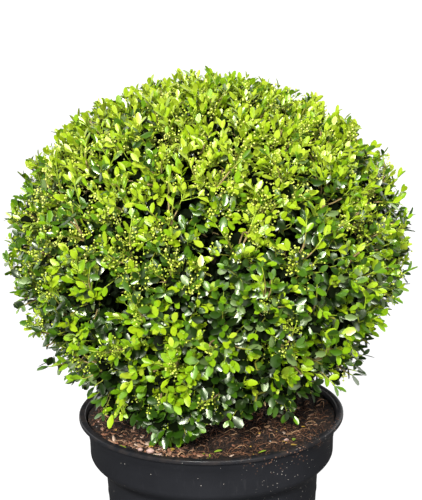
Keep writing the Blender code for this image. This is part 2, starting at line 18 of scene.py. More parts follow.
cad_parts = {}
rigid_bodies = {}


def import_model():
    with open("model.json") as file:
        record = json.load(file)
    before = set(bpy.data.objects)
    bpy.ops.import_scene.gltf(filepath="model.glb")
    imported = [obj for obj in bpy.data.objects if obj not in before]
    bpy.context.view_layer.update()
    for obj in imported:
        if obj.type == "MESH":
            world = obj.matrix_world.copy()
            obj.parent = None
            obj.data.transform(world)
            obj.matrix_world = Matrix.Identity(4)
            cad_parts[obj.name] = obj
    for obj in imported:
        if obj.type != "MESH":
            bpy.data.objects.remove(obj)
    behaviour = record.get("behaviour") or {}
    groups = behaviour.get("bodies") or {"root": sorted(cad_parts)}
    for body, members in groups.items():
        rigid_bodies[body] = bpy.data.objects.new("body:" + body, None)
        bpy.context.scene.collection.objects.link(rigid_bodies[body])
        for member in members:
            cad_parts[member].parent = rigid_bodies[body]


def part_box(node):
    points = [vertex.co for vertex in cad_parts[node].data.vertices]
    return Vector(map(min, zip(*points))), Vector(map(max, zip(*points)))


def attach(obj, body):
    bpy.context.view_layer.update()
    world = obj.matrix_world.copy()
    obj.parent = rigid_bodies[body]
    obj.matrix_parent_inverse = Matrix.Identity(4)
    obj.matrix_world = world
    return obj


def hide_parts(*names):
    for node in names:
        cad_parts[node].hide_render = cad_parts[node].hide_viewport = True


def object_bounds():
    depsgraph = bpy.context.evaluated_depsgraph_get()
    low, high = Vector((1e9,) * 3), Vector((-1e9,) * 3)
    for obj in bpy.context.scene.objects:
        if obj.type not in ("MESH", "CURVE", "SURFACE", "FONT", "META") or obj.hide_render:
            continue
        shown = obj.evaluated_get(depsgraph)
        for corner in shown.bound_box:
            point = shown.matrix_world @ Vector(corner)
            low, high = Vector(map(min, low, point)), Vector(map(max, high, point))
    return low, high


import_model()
CAD_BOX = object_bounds()

SEED = 43
CLEARANCE = 0.0003
UP = Vector((0.0, 0.0, 1.0))
GOLDEN_ANGLE = math.pi * (3.0 - math.sqrt(5.0))

# Container, as its solid
POT_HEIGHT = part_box("pot")[1].z
RIM_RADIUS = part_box("pot")[1].x
LIP_WIDTH = 0.009
LIP_HEIGHT = 0.0066
LIP_ROUNDING = 0.0018
LIP_NECK_DEPTH = 0.0009
LIP_TUCK = Vector((0.0016, 0.006))  # of the wall under the lip
FLARE_DEPTH = 0.022
COLLAR_TOP_RADIUS = 0.1685
COLLAR_MIDDLE_DEPTH = 0.036
COLLAR_RADIUS = 0.166
COLLAR_TAPER = 0.0003
COLLAR_DEPTH = 0.054
SHOULDER_DEPTH = 0.084
SHOULDER_STEPS = 12
SHOULDER_FOOT_GROOVE = 0.0006
BODY_TOP_DROP = 0.010
BODY_RADIUS = 0.1445
BODY_BEAD_DEPTH = 0.112  # of the fine moulded bead round the body, below the rim
BODY_BEAD = 0.0005
BASE_RADIUS = 0.1310
FOOT_HEIGHT = 0.012
FOOT_ROUNDING = 0.0030
WALL = 0.0025
FLOOR_TOP = 0.0070
RECESS_HEIGHT = 0.0040
RECESS_SLOPE = 0.003
FOOT_RING_RADIUS = 0.113
CENTRE_PAD_RADIUS = 0.032
POT_SEGMENTS = 144
DRAIN_HOLES = 8
DRAIN_HOLE_RADIUS = 0.008
DRAIN_CIRCLE_RADIUS = 0.088

# Potting soil
SOIL_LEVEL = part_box("stem")[0].z - CLEARANCE
SOIL_SIDE_GAP = 0.0005
SOIL_RELIEF = 0.0021
SOIL_FRONT_RISE = 0.0030
STEM_PAD_RADIUS = 0.036
SOIL_EDGE_HEAP = 0.0035
SOIL_LUMPS = 0.0026
SOIL_CRUMBS = 0.0010
LITTER_RADIUS = 0.163
SOIL_RINGS = 42
SOIL_SEGMENTS = 150
CRUMB_LITTER_RADIUS = 0.1655
LEAF_LITTER_RADIUS = 0.158
FIBRE_LITTER_RADIUS = 0.160
CHIPS = 1700
CRUMBS = 2300
FIBRES = 1500
DRY_LEAVES = 46
CHIPS_ALL_OVER = 0.13  # share of the chips that is kept everywhere, and towards the front left
CHIPS_FRONT_LEFT = 0.80
CHIP_LENGTHS = (0.004, 0.010)
CRUMB_SIZES = (0.0012, 0.0046)
GRAINS = 0.03  # share of the crumbs that are pebbles or grains of feed
GRAIN_TINTS = (2, 3, 3, 4)
FIBRES_LEFT_OUT = 0.6  # share of the fibres, towards the front left
FIBRE_TINTS = (0, 0, 0, 1, 1, 1, 2, 2, 3)
FIBRE_LENGTHS = (0.006, 0.023)
FIBRE_RADII = (0.00022, 0.00052)
FIBRE_BEND = 0.17
FIBRE_RISES = (0.0006, 0.0048)
ROOTS = 0.035  # share of the fibres that are thicker
ROOT_RADII = (0.0007, 0.0013)
ROOT_TINTS = (1, 2, 3)
DRY_LEAF_LENGTHS = (0.009, 0.017)
DRY_LEAF_TINTS = (0, 0, 1, 1, 2)
FALLEN_LEAF_SIZE = (0.009, 0.011, 0.011)
PEBBLES = (  # (x, y, size)
    (-0.079, -0.140, 0.0095),
    (-0.092, -0.133, 0.006),
    (-0.066, -0.146, 0.005),
    (0.098, -0.100, 0.006),
)
FALLEN_LEAVES = (  # (x, y, tint)
    (-0.052, -0.139, 2),
    (0.003, -0.132, 3),
    (-0.012, -0.150, 3),
    (-0.004, -0.153, 3),
    (0.092, -0.104, 2),
    (0.108, -0.098, 3),
    (0.111, -0.124, 2),
    (0.060, -0.141, 3),
    (-0.120, -0.112, 3),
    (0.074, 0.110, 2),
    (-0.060, 0.128, 3),
)
CHIP_PALETTE = (  # (name, colour, roughness)
    ("chip_dark", (0.030, 0.016, 0.010), 0.85),
    ("chip_brown", (0.110, 0.050, 0.026), 0.80),
    ("chip_rust", (0.260, 0.115, 0.062), 0.78),
    ("chip_tan", (0.420, 0.240, 0.150), 0.75),
    ("chip_pale", (0.600, 0.440, 0.330), 0.70),
)
CRUMB_PALETTE = (
    ("crumb_black", (0.014, 0.009, 0.007), 0.95),
    ("crumb_brown", (0.070, 0.034, 0.019), 0.95),
    ("pebble_pink", (0.520, 0.350, 0.300), 0.55),
    ("grain_yellow", (0.700, 0.420, 0.070), 0.60),
    ("grain_white", (0.720, 0.690, 0.640), 0.60),
)
FALLEN_LEAF_PALETTE = (
    ("dry_leaf_brown", (0.150, 0.070, 0.035), 0.75),
    ("dry_leaf_tan", (0.400, 0.230, 0.120), 0.70),
    ("dry_leaf_yellow", (0.650, 0.420, 0.050), 0.60),
    ("fallen_leaf_green", (0.330, 0.480, 0.040), 0.50),
)
FIBRE_PALETTE = (
    ("fibre_dark", (0.035, 0.017, 0.010), 0.90),
    ("fibre_brown", (0.105, 0.048, 0.025), 0.85),
    ("fibre_rust", (0.260, 0.112, 0.052), 0.80),
    ("fibre_tan", (0.520, 0.310, 0.170), 0.75),
)

# Stem and boughs, as their solids
STEM_RADIUS = 0.0150
ROOT_LOBES = 5
ROOT_LOBE_DEPTH = 0.16
ROOT_LOBE_HEIGHT = 0.020
FLARE_RADIUS = 0.0260
FLARE_HEIGHT = 0.005
FORK_HEIGHT = 0.046
STEM_PROFILE = (
    (0.000, FLARE_RADIUS),
    (FLARE_HEIGHT, 0.0205),
    (0.013, 0.0168),
    (0.026, STEM_RADIUS),
    (0.036, 0.0155),
    (FORK_HEIGHT, 0.0160),
    (0.056, 0.0120),
    (0.061, 0.0060),
)
STEM_LEAN = Vector((0.004, -0.002, 0.0))
STEM_FREE_RADIUS = FLARE_RADIUS * 1.15  # where no loose thing lies
FORK = Vector((0.0, 0.0, SOIL_LEVEL + FORK_HEIGHT)) + STEM_LEAN
STUB_LENGTH = 0.027
STUB_SWELLING = 1.12
BOUGH_RADIUS = 0.0085
BOUGH_TIP_RADIUS = 0.0050
FIRST_BOUGH_TURN = 0.25
SIDE_BOUGH_SLOPE = math.radians(27.0)
SLOPE_CHANGE = 0.10
SLOPE_WAVE = 2.3
SIDE_BOUGH_RISES = (0.12, -0.28, 0.34, -0.05, -0.30, 0.26)
SIDE_BOUGHS = len(SIDE_BOUGH_RISES)
LEADER_WAY = Vector((0.05, 0.02, 1.0)).normalized()
LEADER_AIM = Vector((0.10, 0.05, 1.0)).normalized()
BOUGH_STRAIGHT = 0.004
BOUGH_PULL = 0.35
SOCKET_DEPTH = 0.010
BARK_RELIEF = 0.0009
BARK_SIDES = 22
BOUGH_RINGS = 34
FUSED_GRAIN = 0.0011  # of the mesh in which the stem and its stubs are fused

# Crown, as its solid
CROWN_CENTRE = Vector((0.0, 0.0, 0.543))
CROWN_RADIUS = 0.266
CROWN_HALF_HEIGHT = 0.224
HOLLOW_PROFILE = (  # open space among the boughs, top to mouth: (radius, height above the crown's centre)
    (0.000, 0.100),
    (0.052, 0.094),
    (0.094, 0.072),
    (0.126, 0.032),
    (0.138, -0.020),
    (0.132, -0.080),
    (0.112, -0.132),
    (0.084, -0.172),
    (0.084, -CROWN_HALF_HEIGHT),
)
OUTLINE_UNEVENNESS = 0.016
TWIG_ROOT_SHARE = 0.77
TWIG_TIP_SHARE = 0.935
LOWEST_SHOOT = -0.88
UPWARD_TURN = 0.10
SHOOT_SWAY = 0.05
BRANCHES = 130
LOW_SPRAYS = (
    Vector((-0.128, -0.108, SOIL_LEVEL + 0.050)),
    Vector((-0.070, -0.122, SOIL_LEVEL + 0.034)),
    Vector((-0.034, -0.128, SOIL_LEVEL + 0.026)),
    Vector((0.004, -0.118, SOIL_LEVEL + 0.050)),
    Vector((0.086, -0.108, SOIL_LEVEL + 0.060)),
)
LOW_SPRAY_DROP = 0.95

# Crown, carried to finer growth. A reach is how near and how far from its tip new wood may leave the old
MORE_LOW_SPRAYS = (
    Vector((-0.104, -0.112, SOIL_LEVEL + 0.046)),
    Vector((-0.086, -0.120, SOIL_LEVEL + 0.036)),
    Vector((-0.050, -0.128, SOIL_LEVEL + 0.024)),
    Vector((-0.018, -0.124, SOIL_LEVEL + 0.038)),
    Vector((0.024, -0.116, SOIL_LEVEL + 0.048)),
    Vector((0.052, -0.112, SOIL_LEVEL + 0.056)),
)
LOW_SPRAY_SCATTER = ((-0.012, 0.012), (-0.004, 0.020), (0.0, 0.024))  # along each axis
LOW_SPRAY_REACH = (0.020, 0.30)
LOW_LEAF_SCALE = 1.22
LOW_BARE = 0.30
LOW_TURNING = 0.45  # where its young growth begins
LOW_TINTS = (0.8, 2.4)
LOW_PAINTED_SHEEN_SHARE = 0.04
LOW_TWIG_PLACES = (0.46, 0.54, 0.62, 0.70, 0.78, 0.86, 0.94)
LOW_TWIG_LENGTHS = (0.018, 0.030)
ORDER_STEP = 37  # so that neighbouring branches don't start one after the other
BRANCH_REACH = (0.030, 0.30)
BRANCH_END_SWAY = 0.0008
BRANCH_BARE = 0.62  # share of a branch below its own leaves
BRANCH_PAINTED_SHADE = (0.28, 0.66)  # where it carries leaves painted near-black as shade
BRANCH_TIP_SHARES = (0.97, 1.01)  # of the solid's
BRANCH_TIP_RADIUS = 0.00115
BRANCH_THICKEST = 0.0042
BRANCH_THICKENING = 0.36  # with the number of shoots that hang on it, as a power
TWIGS = 1180
TWIG_REACH = (0.045, 0.120)
TWIG_SHARES = (0.925, 1.0)  # of the outline, where the twigs' leaves end
LEAF_STAND = 0.035  # share of the outline that the leaves at a twig's tip stand past it
ESCAPES = 0.05  # share of twigs that have outgrown the last clipping
ESCAPE_SHARES = (1.0, 1.025)
TWIG_RADIUS = 0.00100
TWIG_TAPER = (1.25, 0.6)  # of the radius, at its root and its tip
LEAFY_LENGTH = 0.058  # of a twig, up to its tip
LEAFIEST = 0.72  # share of a short twig that carries leaves
SPRIGS = (2, 4)  # on each twig
SPRIG_LENGTHS = (0.014, 0.034)
SPRIG_RADIUS = 0.00062
SPRIG_TAPER = (1.2, 0.7)
CUT_STUBS = 150  # woody ends that the shears have left at the surface
CUT_STUB_REACH = (0.040, 0.090)
CUT_STUB_SHARES = (0.92, 0.99)
CUT_STUB_RADII = (0.0009, 0.0016)
CUT_STUB_TINTS = (1, 1, 2, 2)
FLOWERING_SHOOTS = 400  # whose bare stems show at the surface
FLOWERING_REACH = (0.045, 0.100)
FLOWERING_SHARES = (0.975, 1.005)
FLOWERING_RADII = (0.0009, 0.0013)
FLOWERING_TAPER = (1.15, 0.65)
FLOWERING_BOW = 1.045  # how far such a shoot bows outwards
FLOWERING_BARE = (0.60, 0.80)
FLOWERING_STEM = (0.3, 0.8)  # where its bare stem carries buds
SECOND_TWIGS = 640  # with old leaves only, behind the outer ones
SECOND_REACH = (0.020, 0.060)
SECOND_SHARES = (0.79, 0.90)
# tints below nought give the near-black leaf of painted shade
SECOND_TINTS_TO_PAINTED_SHADE = (-2.0, 0.6)
SECOND_PAINTED_SHEEN = 0.3  # against the outer twigs' share of leaves with painted sheen
INNER_TWIGS = 680  # with leaves painted near-black as shade, deep in the crown
INNER_REACH = (0.015, 0.060)
INNER_SHARES = (0.62, 0.78)
WOOD_PULL = 0.36  # how far each end of a length of wood steers it, as a share of its reach
FARNESS = 2.2  # what a metre to the tip counts, less the cosines of its turn from the wood and from outwards
OUTWARDNESS = 0.8
LEAST_TURN = 0.30  # cosine of the widest angle at which new wood leaves the old
TOO_NEAR = 10.0  # how much each fault of a place counts, against metres to the new wood's end
TOO_FAR = 3.0
TOO_SHARP = 2.0
SOIL_AIR = 0.004
RIM_AIR = 0.004
OVER_RIM_RADIUS = RIM_RADIUS - 0.022  # from where leaves stay above the rim
MOUTH_RADIUS = RIM_RADIUS - 0.025  # within which low sprigs end
CLIPPED_SHARE = 0.995  # of the outline, within which sprigs end
NEW_REACH = 0.0085  # how far new leaves stand past the clipped ball at its widest
GROWTH_SINCE_CLIPPING = (  # share that stands out of the outline, by the upward part of the direction
    (-1.00, -0.060),
    (-0.76, -0.190),
    (-0.68, -0.140),
    (-0.60, 0.030),
    (-0.53, 0.060),
    (-0.46, -0.080),
    (-0.38, -0.105),
    (-0.28, 0.014),
    (-0.20, -0.008),
    (-0.08, 0.006),
    (0.10, 0.010),
    (0.35, 0.016),
    (0.55, 0.004),
    (0.74, 0.008),
    (0.85, -0.026),
    (1.00, 0.004),
)
YOUNG_SHARES = (  # share of the twigs that carry young growth, by height
    (0.00, 0.20),
    (0.16, 0.31),
    (0.24, 0.52),
    (0.34, 0.75),
    (0.46, 0.44),
    (0.58, 0.29),
    (0.66, 0.32),
    (0.74, 0.54),
    (0.82, 0.78),
    (0.90, 0.84),
    (1.00, 0.88),
)

# Leaves and buds. A tint is a number in its palette
LEAF_LENGTH = 0.0195
LEAF_SIZES = (0.70, 1.14)
LEAF_WIDTHS = (0.86, 1.08)
TIP_LEAVES = 2  # in the tuft at each tip
TIP_LEAF_SIZES = (0.44, 0.84)
TIP_LEAF_SPREAD = (0.25, 0.65)
TIP_LEAF_TOSS = 0.4
TIP_LEAF_BRIGHTER = 0.3
LAST_NODE = 0.97  # share of a twig
SHADE_LEAF_SIZES = (0.8, 1.1)
NODE_SPACING = 0.0066
NEW_SPACING = 0.0082
SHADE_LEAF_LENGTH = 0.030
SHADE_SPACING = 0.0060  # between the old leaves deep in the crown, painted near-black as shade
OLD_SHAPES = (0, 1, 2, 3)
NEW_SHAPES = (4, 5, 6, 7)
SHADE_SHAPES = (8, 9)
OLD_LEAF = ((0.00, 0.02), (0.20, 0.19), (0.54, 0.325), (0.87, 0.215), (1.00, 0.0))  # (place, half width)
NEW_LEAF = ((0.00, 0.02), (0.20, 0.19), (0.54, 0.310), (0.87, 0.195), (1.00, 0.0))
SHADE_LEAF = ((0.00, 0.03), (0.35, 0.24), (0.75, 0.25), (1.00, 0.0))
OLD_DOMES = (14.0, 32.0)  # degrees that a leaf's halves hang down
NEW_FOLDS = (6.0, 26.0)  # degrees that they are folded up
OLD_ARCHES = (0.16, 0.36)
NEW_ARCHES = (-0.08, 0.14)
OLD_SPLAY = (48, 84)  # degrees from the twig
NEW_SPLAY = (34, 60)
LEAF_GROUPS = 4  # pieces that the leaves are shared among, by the side that they are on
NODE_UNEVENNESS = 0.25  # of the turn from one leaf to the next, and of the spacing
LEAF_RISE = 0.12  # how much the leaves point up
LEAF_TOSS = 0.36  # how unevenly they face
LAST_LEAF_SCALE = 0.78  # the nodes near a twig's tip carry smaller leaves
OLD_TWIG_SPREAD = 0.60  # of the tint, from twig to twig
NEW_TWIG_SPREAD = 0.50
OLD_LEAF_SPREAD = 0.65  # of the tint, from leaf to leaf
NEW_LEAF_SPREAD = 0.60
# Changes with height in the crown, as (value below, value above, from height, to height)
OLD_TINT = (1.35, 3.4, 0.20, 0.95)
NEW_TINT = (5.0, 6.4, 0.30, 0.90)
PAINTED_SHADE_AT_FOOT = (-2.2, -3.8, 0.35, 0.80)  # painted shade: how much darker the old leaves' tint is at a twig's foot, deep in the crown
PAINTED_SHEEN_SHARE = (0.19, 0.05, 0.40, 0.75)  # of the old leaves, painted pale grey-green as sheen
PAINTED_LIGHT_AT_TIP = 0.6  # painted light: how much lighter that tint is at the twig's tip, at the surface
LEAF_SCALE = (1.13, 1.0, 0.30, 0.62)
LEAF_BREADTH = (0.96, 0.86, 0.50, 0.85)
LEAF_LIFT = (0.62, 0.44, 0.15, 0.60)  # how much the leaves turn their faces up
FLOWERLESS = (0.18, -0.10, 0.38, 0.70)
FLOWER_PATCHES = 16.0
FLOWERING_NODES = 0.66
FLOWERING_IF_NEW = 0.58  # of those nodes
FLOWERING_IF_OLD = 0.85
BLOOM_FROM = 0.83  # of the outline, from where buds grow
BARE_NODES = 0.45  # share of a flowering twig's old nodes that have lost their leaf
BUDS_IN_CLUSTER = (3, 4, 4, 5, 6)
BUD_SIZES = (0.0026, 0.0037)
BUD_RISES = (0.3, 1.5)  # how much the stalks follow the twig
BUD_TOSS = 0.90
BUD_TINT_SPREAD = 0.6
BUD_SPACING = 0.0080  # between the clusters on a bare stem
STALK_LENGTHS = (0.0050, 0.0120)
STALK_FOOT = (0.00034, 0.6)  # (radius, tint)
STALK_TIP = (0.00025, 0)
WOOD_SIDES = {"branches": 7, "twigs": 4, "sprigs": 4, "bud_stalks": 3}
LEAF_PALETTE = (  # (name, colour, roughness, wax)
    # leaf_shade: near-black painted shade, for the leaves deep in the crown
    ("leaf_shade", (0.0018, 0.0044, 0.0004), 0.70, 0.05),
    ("leaf_dark", (0.0060, 0.0215, 0.0008), 0.30, 1.00),
    ("leaf_deep", (0.0165, 0.0540, 0.0012), 0.30, 1.00),
    ("leaf_mid", (0.0530, 0.1410, 0.0032), 0.31, 1.00),
    ("leaf_fresh", (0.1210, 0.2740, 0.0036), 0.32, 0.85),
    ("leaf_yellow_green", (0.2330, 0.4220, 0.0050), 0.33, 0.70),
    ("leaf_lime", (0.3360, 0.4960, 0.0086), 0.34, 0.60),
    ("leaf_bright_lime", (0.4300, 0.5650, 0.0300), 0.34, 0.60),
    # leaf_pale: pale grey-green, painted sheen
    ("leaf_pale", (0.1450, 0.2250, 0.0620), 0.36, 1.00),
)
PAINTED_SHEEN_LEAF = len(LEAF_PALETTE) - 1  # an old leaf painted pale grey-green: painted sheen of the sky on its wax
LEAF_GLOSS = 0.90
SHEEN_TINT = (0.80, 1.00, 0.45)  # the green of the leaf below, in the broad part of its sheen
WAX_WEIGHT = 1.05
WAX_IOR = 1.80
WOOD_PALETTE = (
    ("twig_lime", (0.340, 0.470, 0.030), 0.50),
    ("twig_olive", (0.240, 0.250, 0.026), 0.60),
    ("twig_tan", (0.350, 0.260, 0.105), 0.65),
    ("twig_brown", (0.105, 0.074, 0.042), 0.80),
)
BUD_PALETTE = (
    ("bud_green", (0.360, 0.480, 0.035), 0.40),
    ("bud_yellow_green", (0.580, 0.680, 0.065), 0.40),
    ("bud_cream", (0.760, 0.810, 0.190), 0.40),
)

# Stage
CAMERA_TARGET = Vector((0.0032, 0.0, 0.536))
CAMERA_DISTANCE = 2.3
CAMERA_ELEVATION = math.radians(16.0)
CAMERA_LENS = 124.6
CAMERA_ROLL = math.radians(-0.9)
SKY = 0.015  # of the white surroundings, what lights the plant
FLOOR_GLOW = 1.0
FLOOR_RADIUS = 40.0
LIGHTS = (  # (name, the way to it, strength, spread in degrees, colour)
    ("key", (-0.24, -1.0, 0.62), 4.5, 14.0, (1.0, 0.99, 0.96)),
    ("window", (-0.12, -1.0, 0.50), 0.55, 62.0, (1.0, 1.0, 1.0)),
    ("fill", (0.36, -1.0, 0.08), 2.40, 24.0, (1.0, 1.0, 0.98)),
    ("back_left", (-1.0, 0.85, 0.35), 1.00, 60.0, (1.0, 1.0, 1.0)),
    ("back_right", (0.85, 1.0, 0.35), 1.05, 60.0, (1.0, 1.0, 1.0)),
)


def between(first, last, share):
    return first + (last - first) * share


def smooth_step(value, low, high):
    share = min(1.0, max(0.0, (value - low) / (high - low)))
    return share * share * (3.0 - 2.0 * share)


def place(name, mesh, *materials):
    for material in materials:
        mesh.materials.append(material)
    item = bpy.data.objects.new(name, mesh)
    bpy.context.scene.collection.objects.link(item)
    return item


def mesh_from(bm, name):
    bmesh.ops.recalc_face_normals(bm, faces=bm.faces)
    mesh = bpy.data.meshes.new(name)
    bm.to_mesh(mesh)
    bm.free()
    return mesh


def apply_modifiers(item):
    """Makes what the item's modifiers give its plain mesh, and takes them off."""
    graph = bpy.context.evaluated_depsgraph_get()
    mesh = bpy.data.meshes.new_from_object(item.evaluated_get(graph), depsgraph=graph)
    item.modifiers.clear()
    item.data = mesh
    return mesh


def finish_piece(item, slot, *nodes):
    """Hands a finished piece to the frame: it rides with the plant and stands for its solids."""
    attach(item, "root")
    if nodes:
        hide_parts(*nodes)


# Node trees


class Wire:
    """A node's output that can stand in a sum: each sign adds the Math node that it needs."""

    def __init__(self, nodes, socket):
        self.nodes = nodes
        self.socket = socket

    def __add__(self, other):
        return self.nodes.maths("ADD", self, other)

    def __sub__(self, other):
        return self.nodes.maths("SUBTRACT", self, other)

    def __rsub__(self, other):
        return self.nodes.maths("SUBTRACT", other, self)

    def __mul__(self, other):
        return self.nodes.maths("MULTIPLY", self, other)

    def __gt__(self, other):
        return self.nodes.maths("GREATER_THAN", self, other)

    def __lt__(self, other):
        return self.nodes.maths("LESS_THAN", self, other)

    __radd__ = __add__
    __rmul__ = __mul__


class Nodes:
    """A node tree written as calls, each of which makes one node and hands back its output."""

    maths_kind = "ShaderNodeMath"

    def __init__(self, tree):
        self.tree = tree

    def node(self, kind, settings=None, inputs=None, output=0):
        made = self.tree.nodes.new(kind)
        for name, value in (settings or {}).items():
            if name == "stops":
                self.set_stops(made.color_ramp, value)
            else:
                setattr(made, name, value)
        for key, value in (inputs or {}).items():
            self.feed(made.inputs[key], value)
        return Wire(self, made.outputs[output])

    def feed(self, socket, value):
        if isinstance(value, Wire):
            self.tree.links.new(value.socket, socket)
        else:
            socket.default_value = value

    @staticmethod
    def set_stops(ramp, stops):
        for index, (place_on_ramp, colour) in enumerate(stops):
            stop = ramp.elements[index] if index < 2 else ramp.elements.new(place_on_ramp)
            stop.position = place_on_ramp
            stop.color = (*colour, 1.0)

    def maths(self, operation, *values):
        return self.node(self.maths_kind, {"operation": operation}, dict(enumerate(values)))


class Finish(Nodes):
    """A material: its surface takes plain values or whole patterns."""

    def __init__(self, name, **plain):
        self.material = bpy.data.materials.new(name)
        self.material.use_nodes = True
        super().__init__(self.material.node_tree)
        self.surface = self.tree.nodes["Principled BSDF"]
        for label, value in plain.items():
            self.set(label.replace("_", " ").title(), value)

    def set(self, label, value):
        if isinstance(value, tuple):
            value = (*value, 1.0)
        self.feed(self.surface.inputs[label], value)

    def where(self, stretch=(1.0, 1.0, 1.0)):
        """Places on the piece, in metres, stretched along each axis."""
        place_on_piece = self.node("ShaderNodeTexCoord", output="Object")
        return self.node("ShaderNodeMapping", inputs={"Vector": place_on_piece, "Scale": stretch})

    def grain(self, where, scale, detail=3.0, roughness=0.55):
        settings = {"Vector": where, "Scale": scale, "Detail": detail, "Roughness": roughness}
        return self.node("ShaderNodeTexNoise", inputs=settings)

    def cells(self, where, scale, output="Distance"):
        return self.node("ShaderNodeTexVoronoi", inputs={"Vector": where, "Scale": scale}, output=output)

    def ramp(self, value, *stops):
        return self.node("ShaderNodeValToRGB", {"stops": stops}, {"Fac": value})

    def spread(self, value, low, high):
        """A value brought to 0 at low and to 1 at high, and kept between them."""
        settings = {"Value": value, "From Min": low, "From Max": high}
        return self.node("ShaderNodeMapRange", {"clamp": True}, settings)

    def mix(self, share, first, second):
        colours = [(*c, 1.0) if isinstance(c, tuple) else c for c in (first, second)]
        inputs = {0: share, 6: colours[0], 7: colours[1]}
        return self.node("ShaderNodeMix", {"data_type": "RGBA"}, inputs, output=2)

    def bump(self, height, depth, strength=1.0):
        inputs = {"Height": height, "Distance": depth, "Strength": strength}
        self.set("Normal", self.node("ShaderNodeBump", inputs=inputs))


class Geometry(Nodes):
    """A geometry tree that starts from the object's own mesh."""

    def __init__(self, name, **sizes):
        tree = bpy.data.node_groups.new(name, "GeometryNodeTree")
        super().__init__(tree)
        tree.interface.new_socket("Geometry", in_out="INPUT", socket_type="NodeSocketGeometry")
        tree.interface.new_socket("Geometry", in_out="OUTPUT", socket_type="NodeSocketGeometry")
        kinds = {int: "NodeSocketInt", float: "NodeSocketFloat"}
        self.values = {}
        for label, value in sizes.items():
            kind = kinds.get(type(value), "NodeSocketCollection")
            socket = tree.interface.new_socket(label, in_out="INPUT", socket_type=kind)
            self.values[socket.identifier] = value
        self.inputs = tree.nodes.new("NodeGroupInput")
        self.source = self.size("Geometry")

    def size(self, label):
        return Wire(self, self.inputs.outputs[label])

    def named(self, label, kind="FLOAT"):
        inputs = {"Name": label}
        return self.node("GeometryNodeInputNamedAttribute", {"data_type": kind}, inputs)

    def paint(self, geometry, palette):
        """Realises the geometry and gives each face the material that its tint numbers."""
        geometry = self.node("GeometryNodeRealizeInstances", inputs={"Geometry": geometry})
        geometry = self.node("GeometryNodeSetShadeSmooth", inputs={"Geometry": geometry})
        tint = self.named("tint")
        for number, material in enumerate(palette):
            inputs = {"Geometry": geometry, "Selection": tint > number - 0.5, "Material": material}
            geometry = self.node("GeometryNodeSetMaterial", inputs=inputs)
        return geometry

    def grow(self, item, result):
        """Runs the tree on the item and keeps the result as its plain mesh."""
        output = self.tree.nodes.new("NodeGroupOutput")
        self.tree.links.new(result.socket, output.inputs[0])
        modifier = item.modifiers.new(self.tree.name, "NODES")
        modifier.node_group = self.tree
        for identifier, value in self.values.items():
            modifier[identifier] = value
        mesh = apply_modifiers(item)
        for label in ("way", "face", "size", "shape", "tint", "thickness"):
            attribute = mesh.attributes.get(label)
            if attribute:
                mesh.attributes.remove(attribute)
        return item


def note(mesh, label, kind, values):
    """Keeps one value for each of a mesh's points."""
    attribute = mesh.attributes.new(label, kind, "POINT")
    field = "vector" if kind == "FLOAT_VECTOR" else "value"
    attribute.data.foreach_set(field, np.asarray(values, np.float32).ravel())


def set_out(name, spots, shapes, palette):
    """One mesh of small things: at each spot a shape whose length follows way and whose top follows face.

    A spot is (root, way, face, size, shape number, tint number), with size as (width, length, height).
    """
    roots, ways, faces, sizes, numbers, tints = zip(*spots)
    mesh = bpy.data.meshes.new(name)
    mesh.from_pydata(roots, [], [])
    for label, values in (("way", ways), ("face", faces), ("size", sizes)):
        note(mesh, label, "FLOAT_VECTOR", values)
    note(mesh, "shape", "FLOAT", numbers)
    note(mesh, "tint", "FLOAT", tints)
    tree = Geometry(f"set_out_{name}", Shapes=shapes)
    way, face, size = [tree.named(label, "FLOAT_VECTOR") for label in ("way", "face", "size")]
    axes = {"primary_axis": "Y", "secondary_axis": "Z"}
    turn = tree.node("FunctionNodeAxesToRotation", axes, {"Primary Axis": way, "Secondary Axis": face})
    inputs = {"Collection": tree.size("Shapes"), "Separate Children": True}
    inputs = {
        "Points": tree.node("GeometryNodeMeshToPoints", inputs={"Mesh": tree.source}),
        "Instance": tree.node("GeometryNodeCollectionInfo", inputs=inputs),
        "Pick Instance": True,
        "Instance Index": tree.named("shape"),
        "Rotation": turn,
        "Scale": size,
    }
    things = tree.node("GeometryNodeInstanceOnPoints", inputs=inputs)
    return tree.grow(place(name, mesh), tree.paint(things, palette))


def rods(name, lines, palette, sides):
    """One mesh of round wood. A line is a list of points, each of them (place, radius, tint number)."""
    mesh = bpy.data.meshes.new(name)
    points = [point for line in lines for point in line]
    edges = []
    first = 0
    for line in lines:
        edges += [(number, number + 1) for number in range(first, first + len(line) - 1)]
        first += len(line)
    places, radii, tints = zip(*points)
    mesh.from_pydata(places, edges, [])
    note(mesh, "thickness", "FLOAT", radii)
    note(mesh, "tint", "FLOAT", tints)
    tree = Geometry(f"rods_{name}", Sides=sides)
    curve = tree.node("GeometryNodeMeshToCurve", inputs={"Mesh": tree.source})
    inputs = {"Resolution": tree.size("Sides"), "Radius": 1.0}
    ring = tree.node("GeometryNodeCurvePrimitiveCircle", inputs=inputs)
    inputs = {"Curve": curve, "Profile Curve": ring, "Scale": tree.named("thickness"), "Fill Caps": True}
    tubes = tree.node("GeometryNodeCurveToMesh", inputs=inputs)
    return tree.grow(place(name, mesh), tree.paint(tubes, palette))


def shape_collection(name, meshes):
    """A collection of small shapes, picked by number, that is itself not shown."""
    shapes = bpy.data.collections.new(name)
    for number, mesh in enumerate(meshes):
        shapes.objects.link(bpy.data.objects.new(f"{name}_{number:02d}", mesh))
    return shapes


# Container


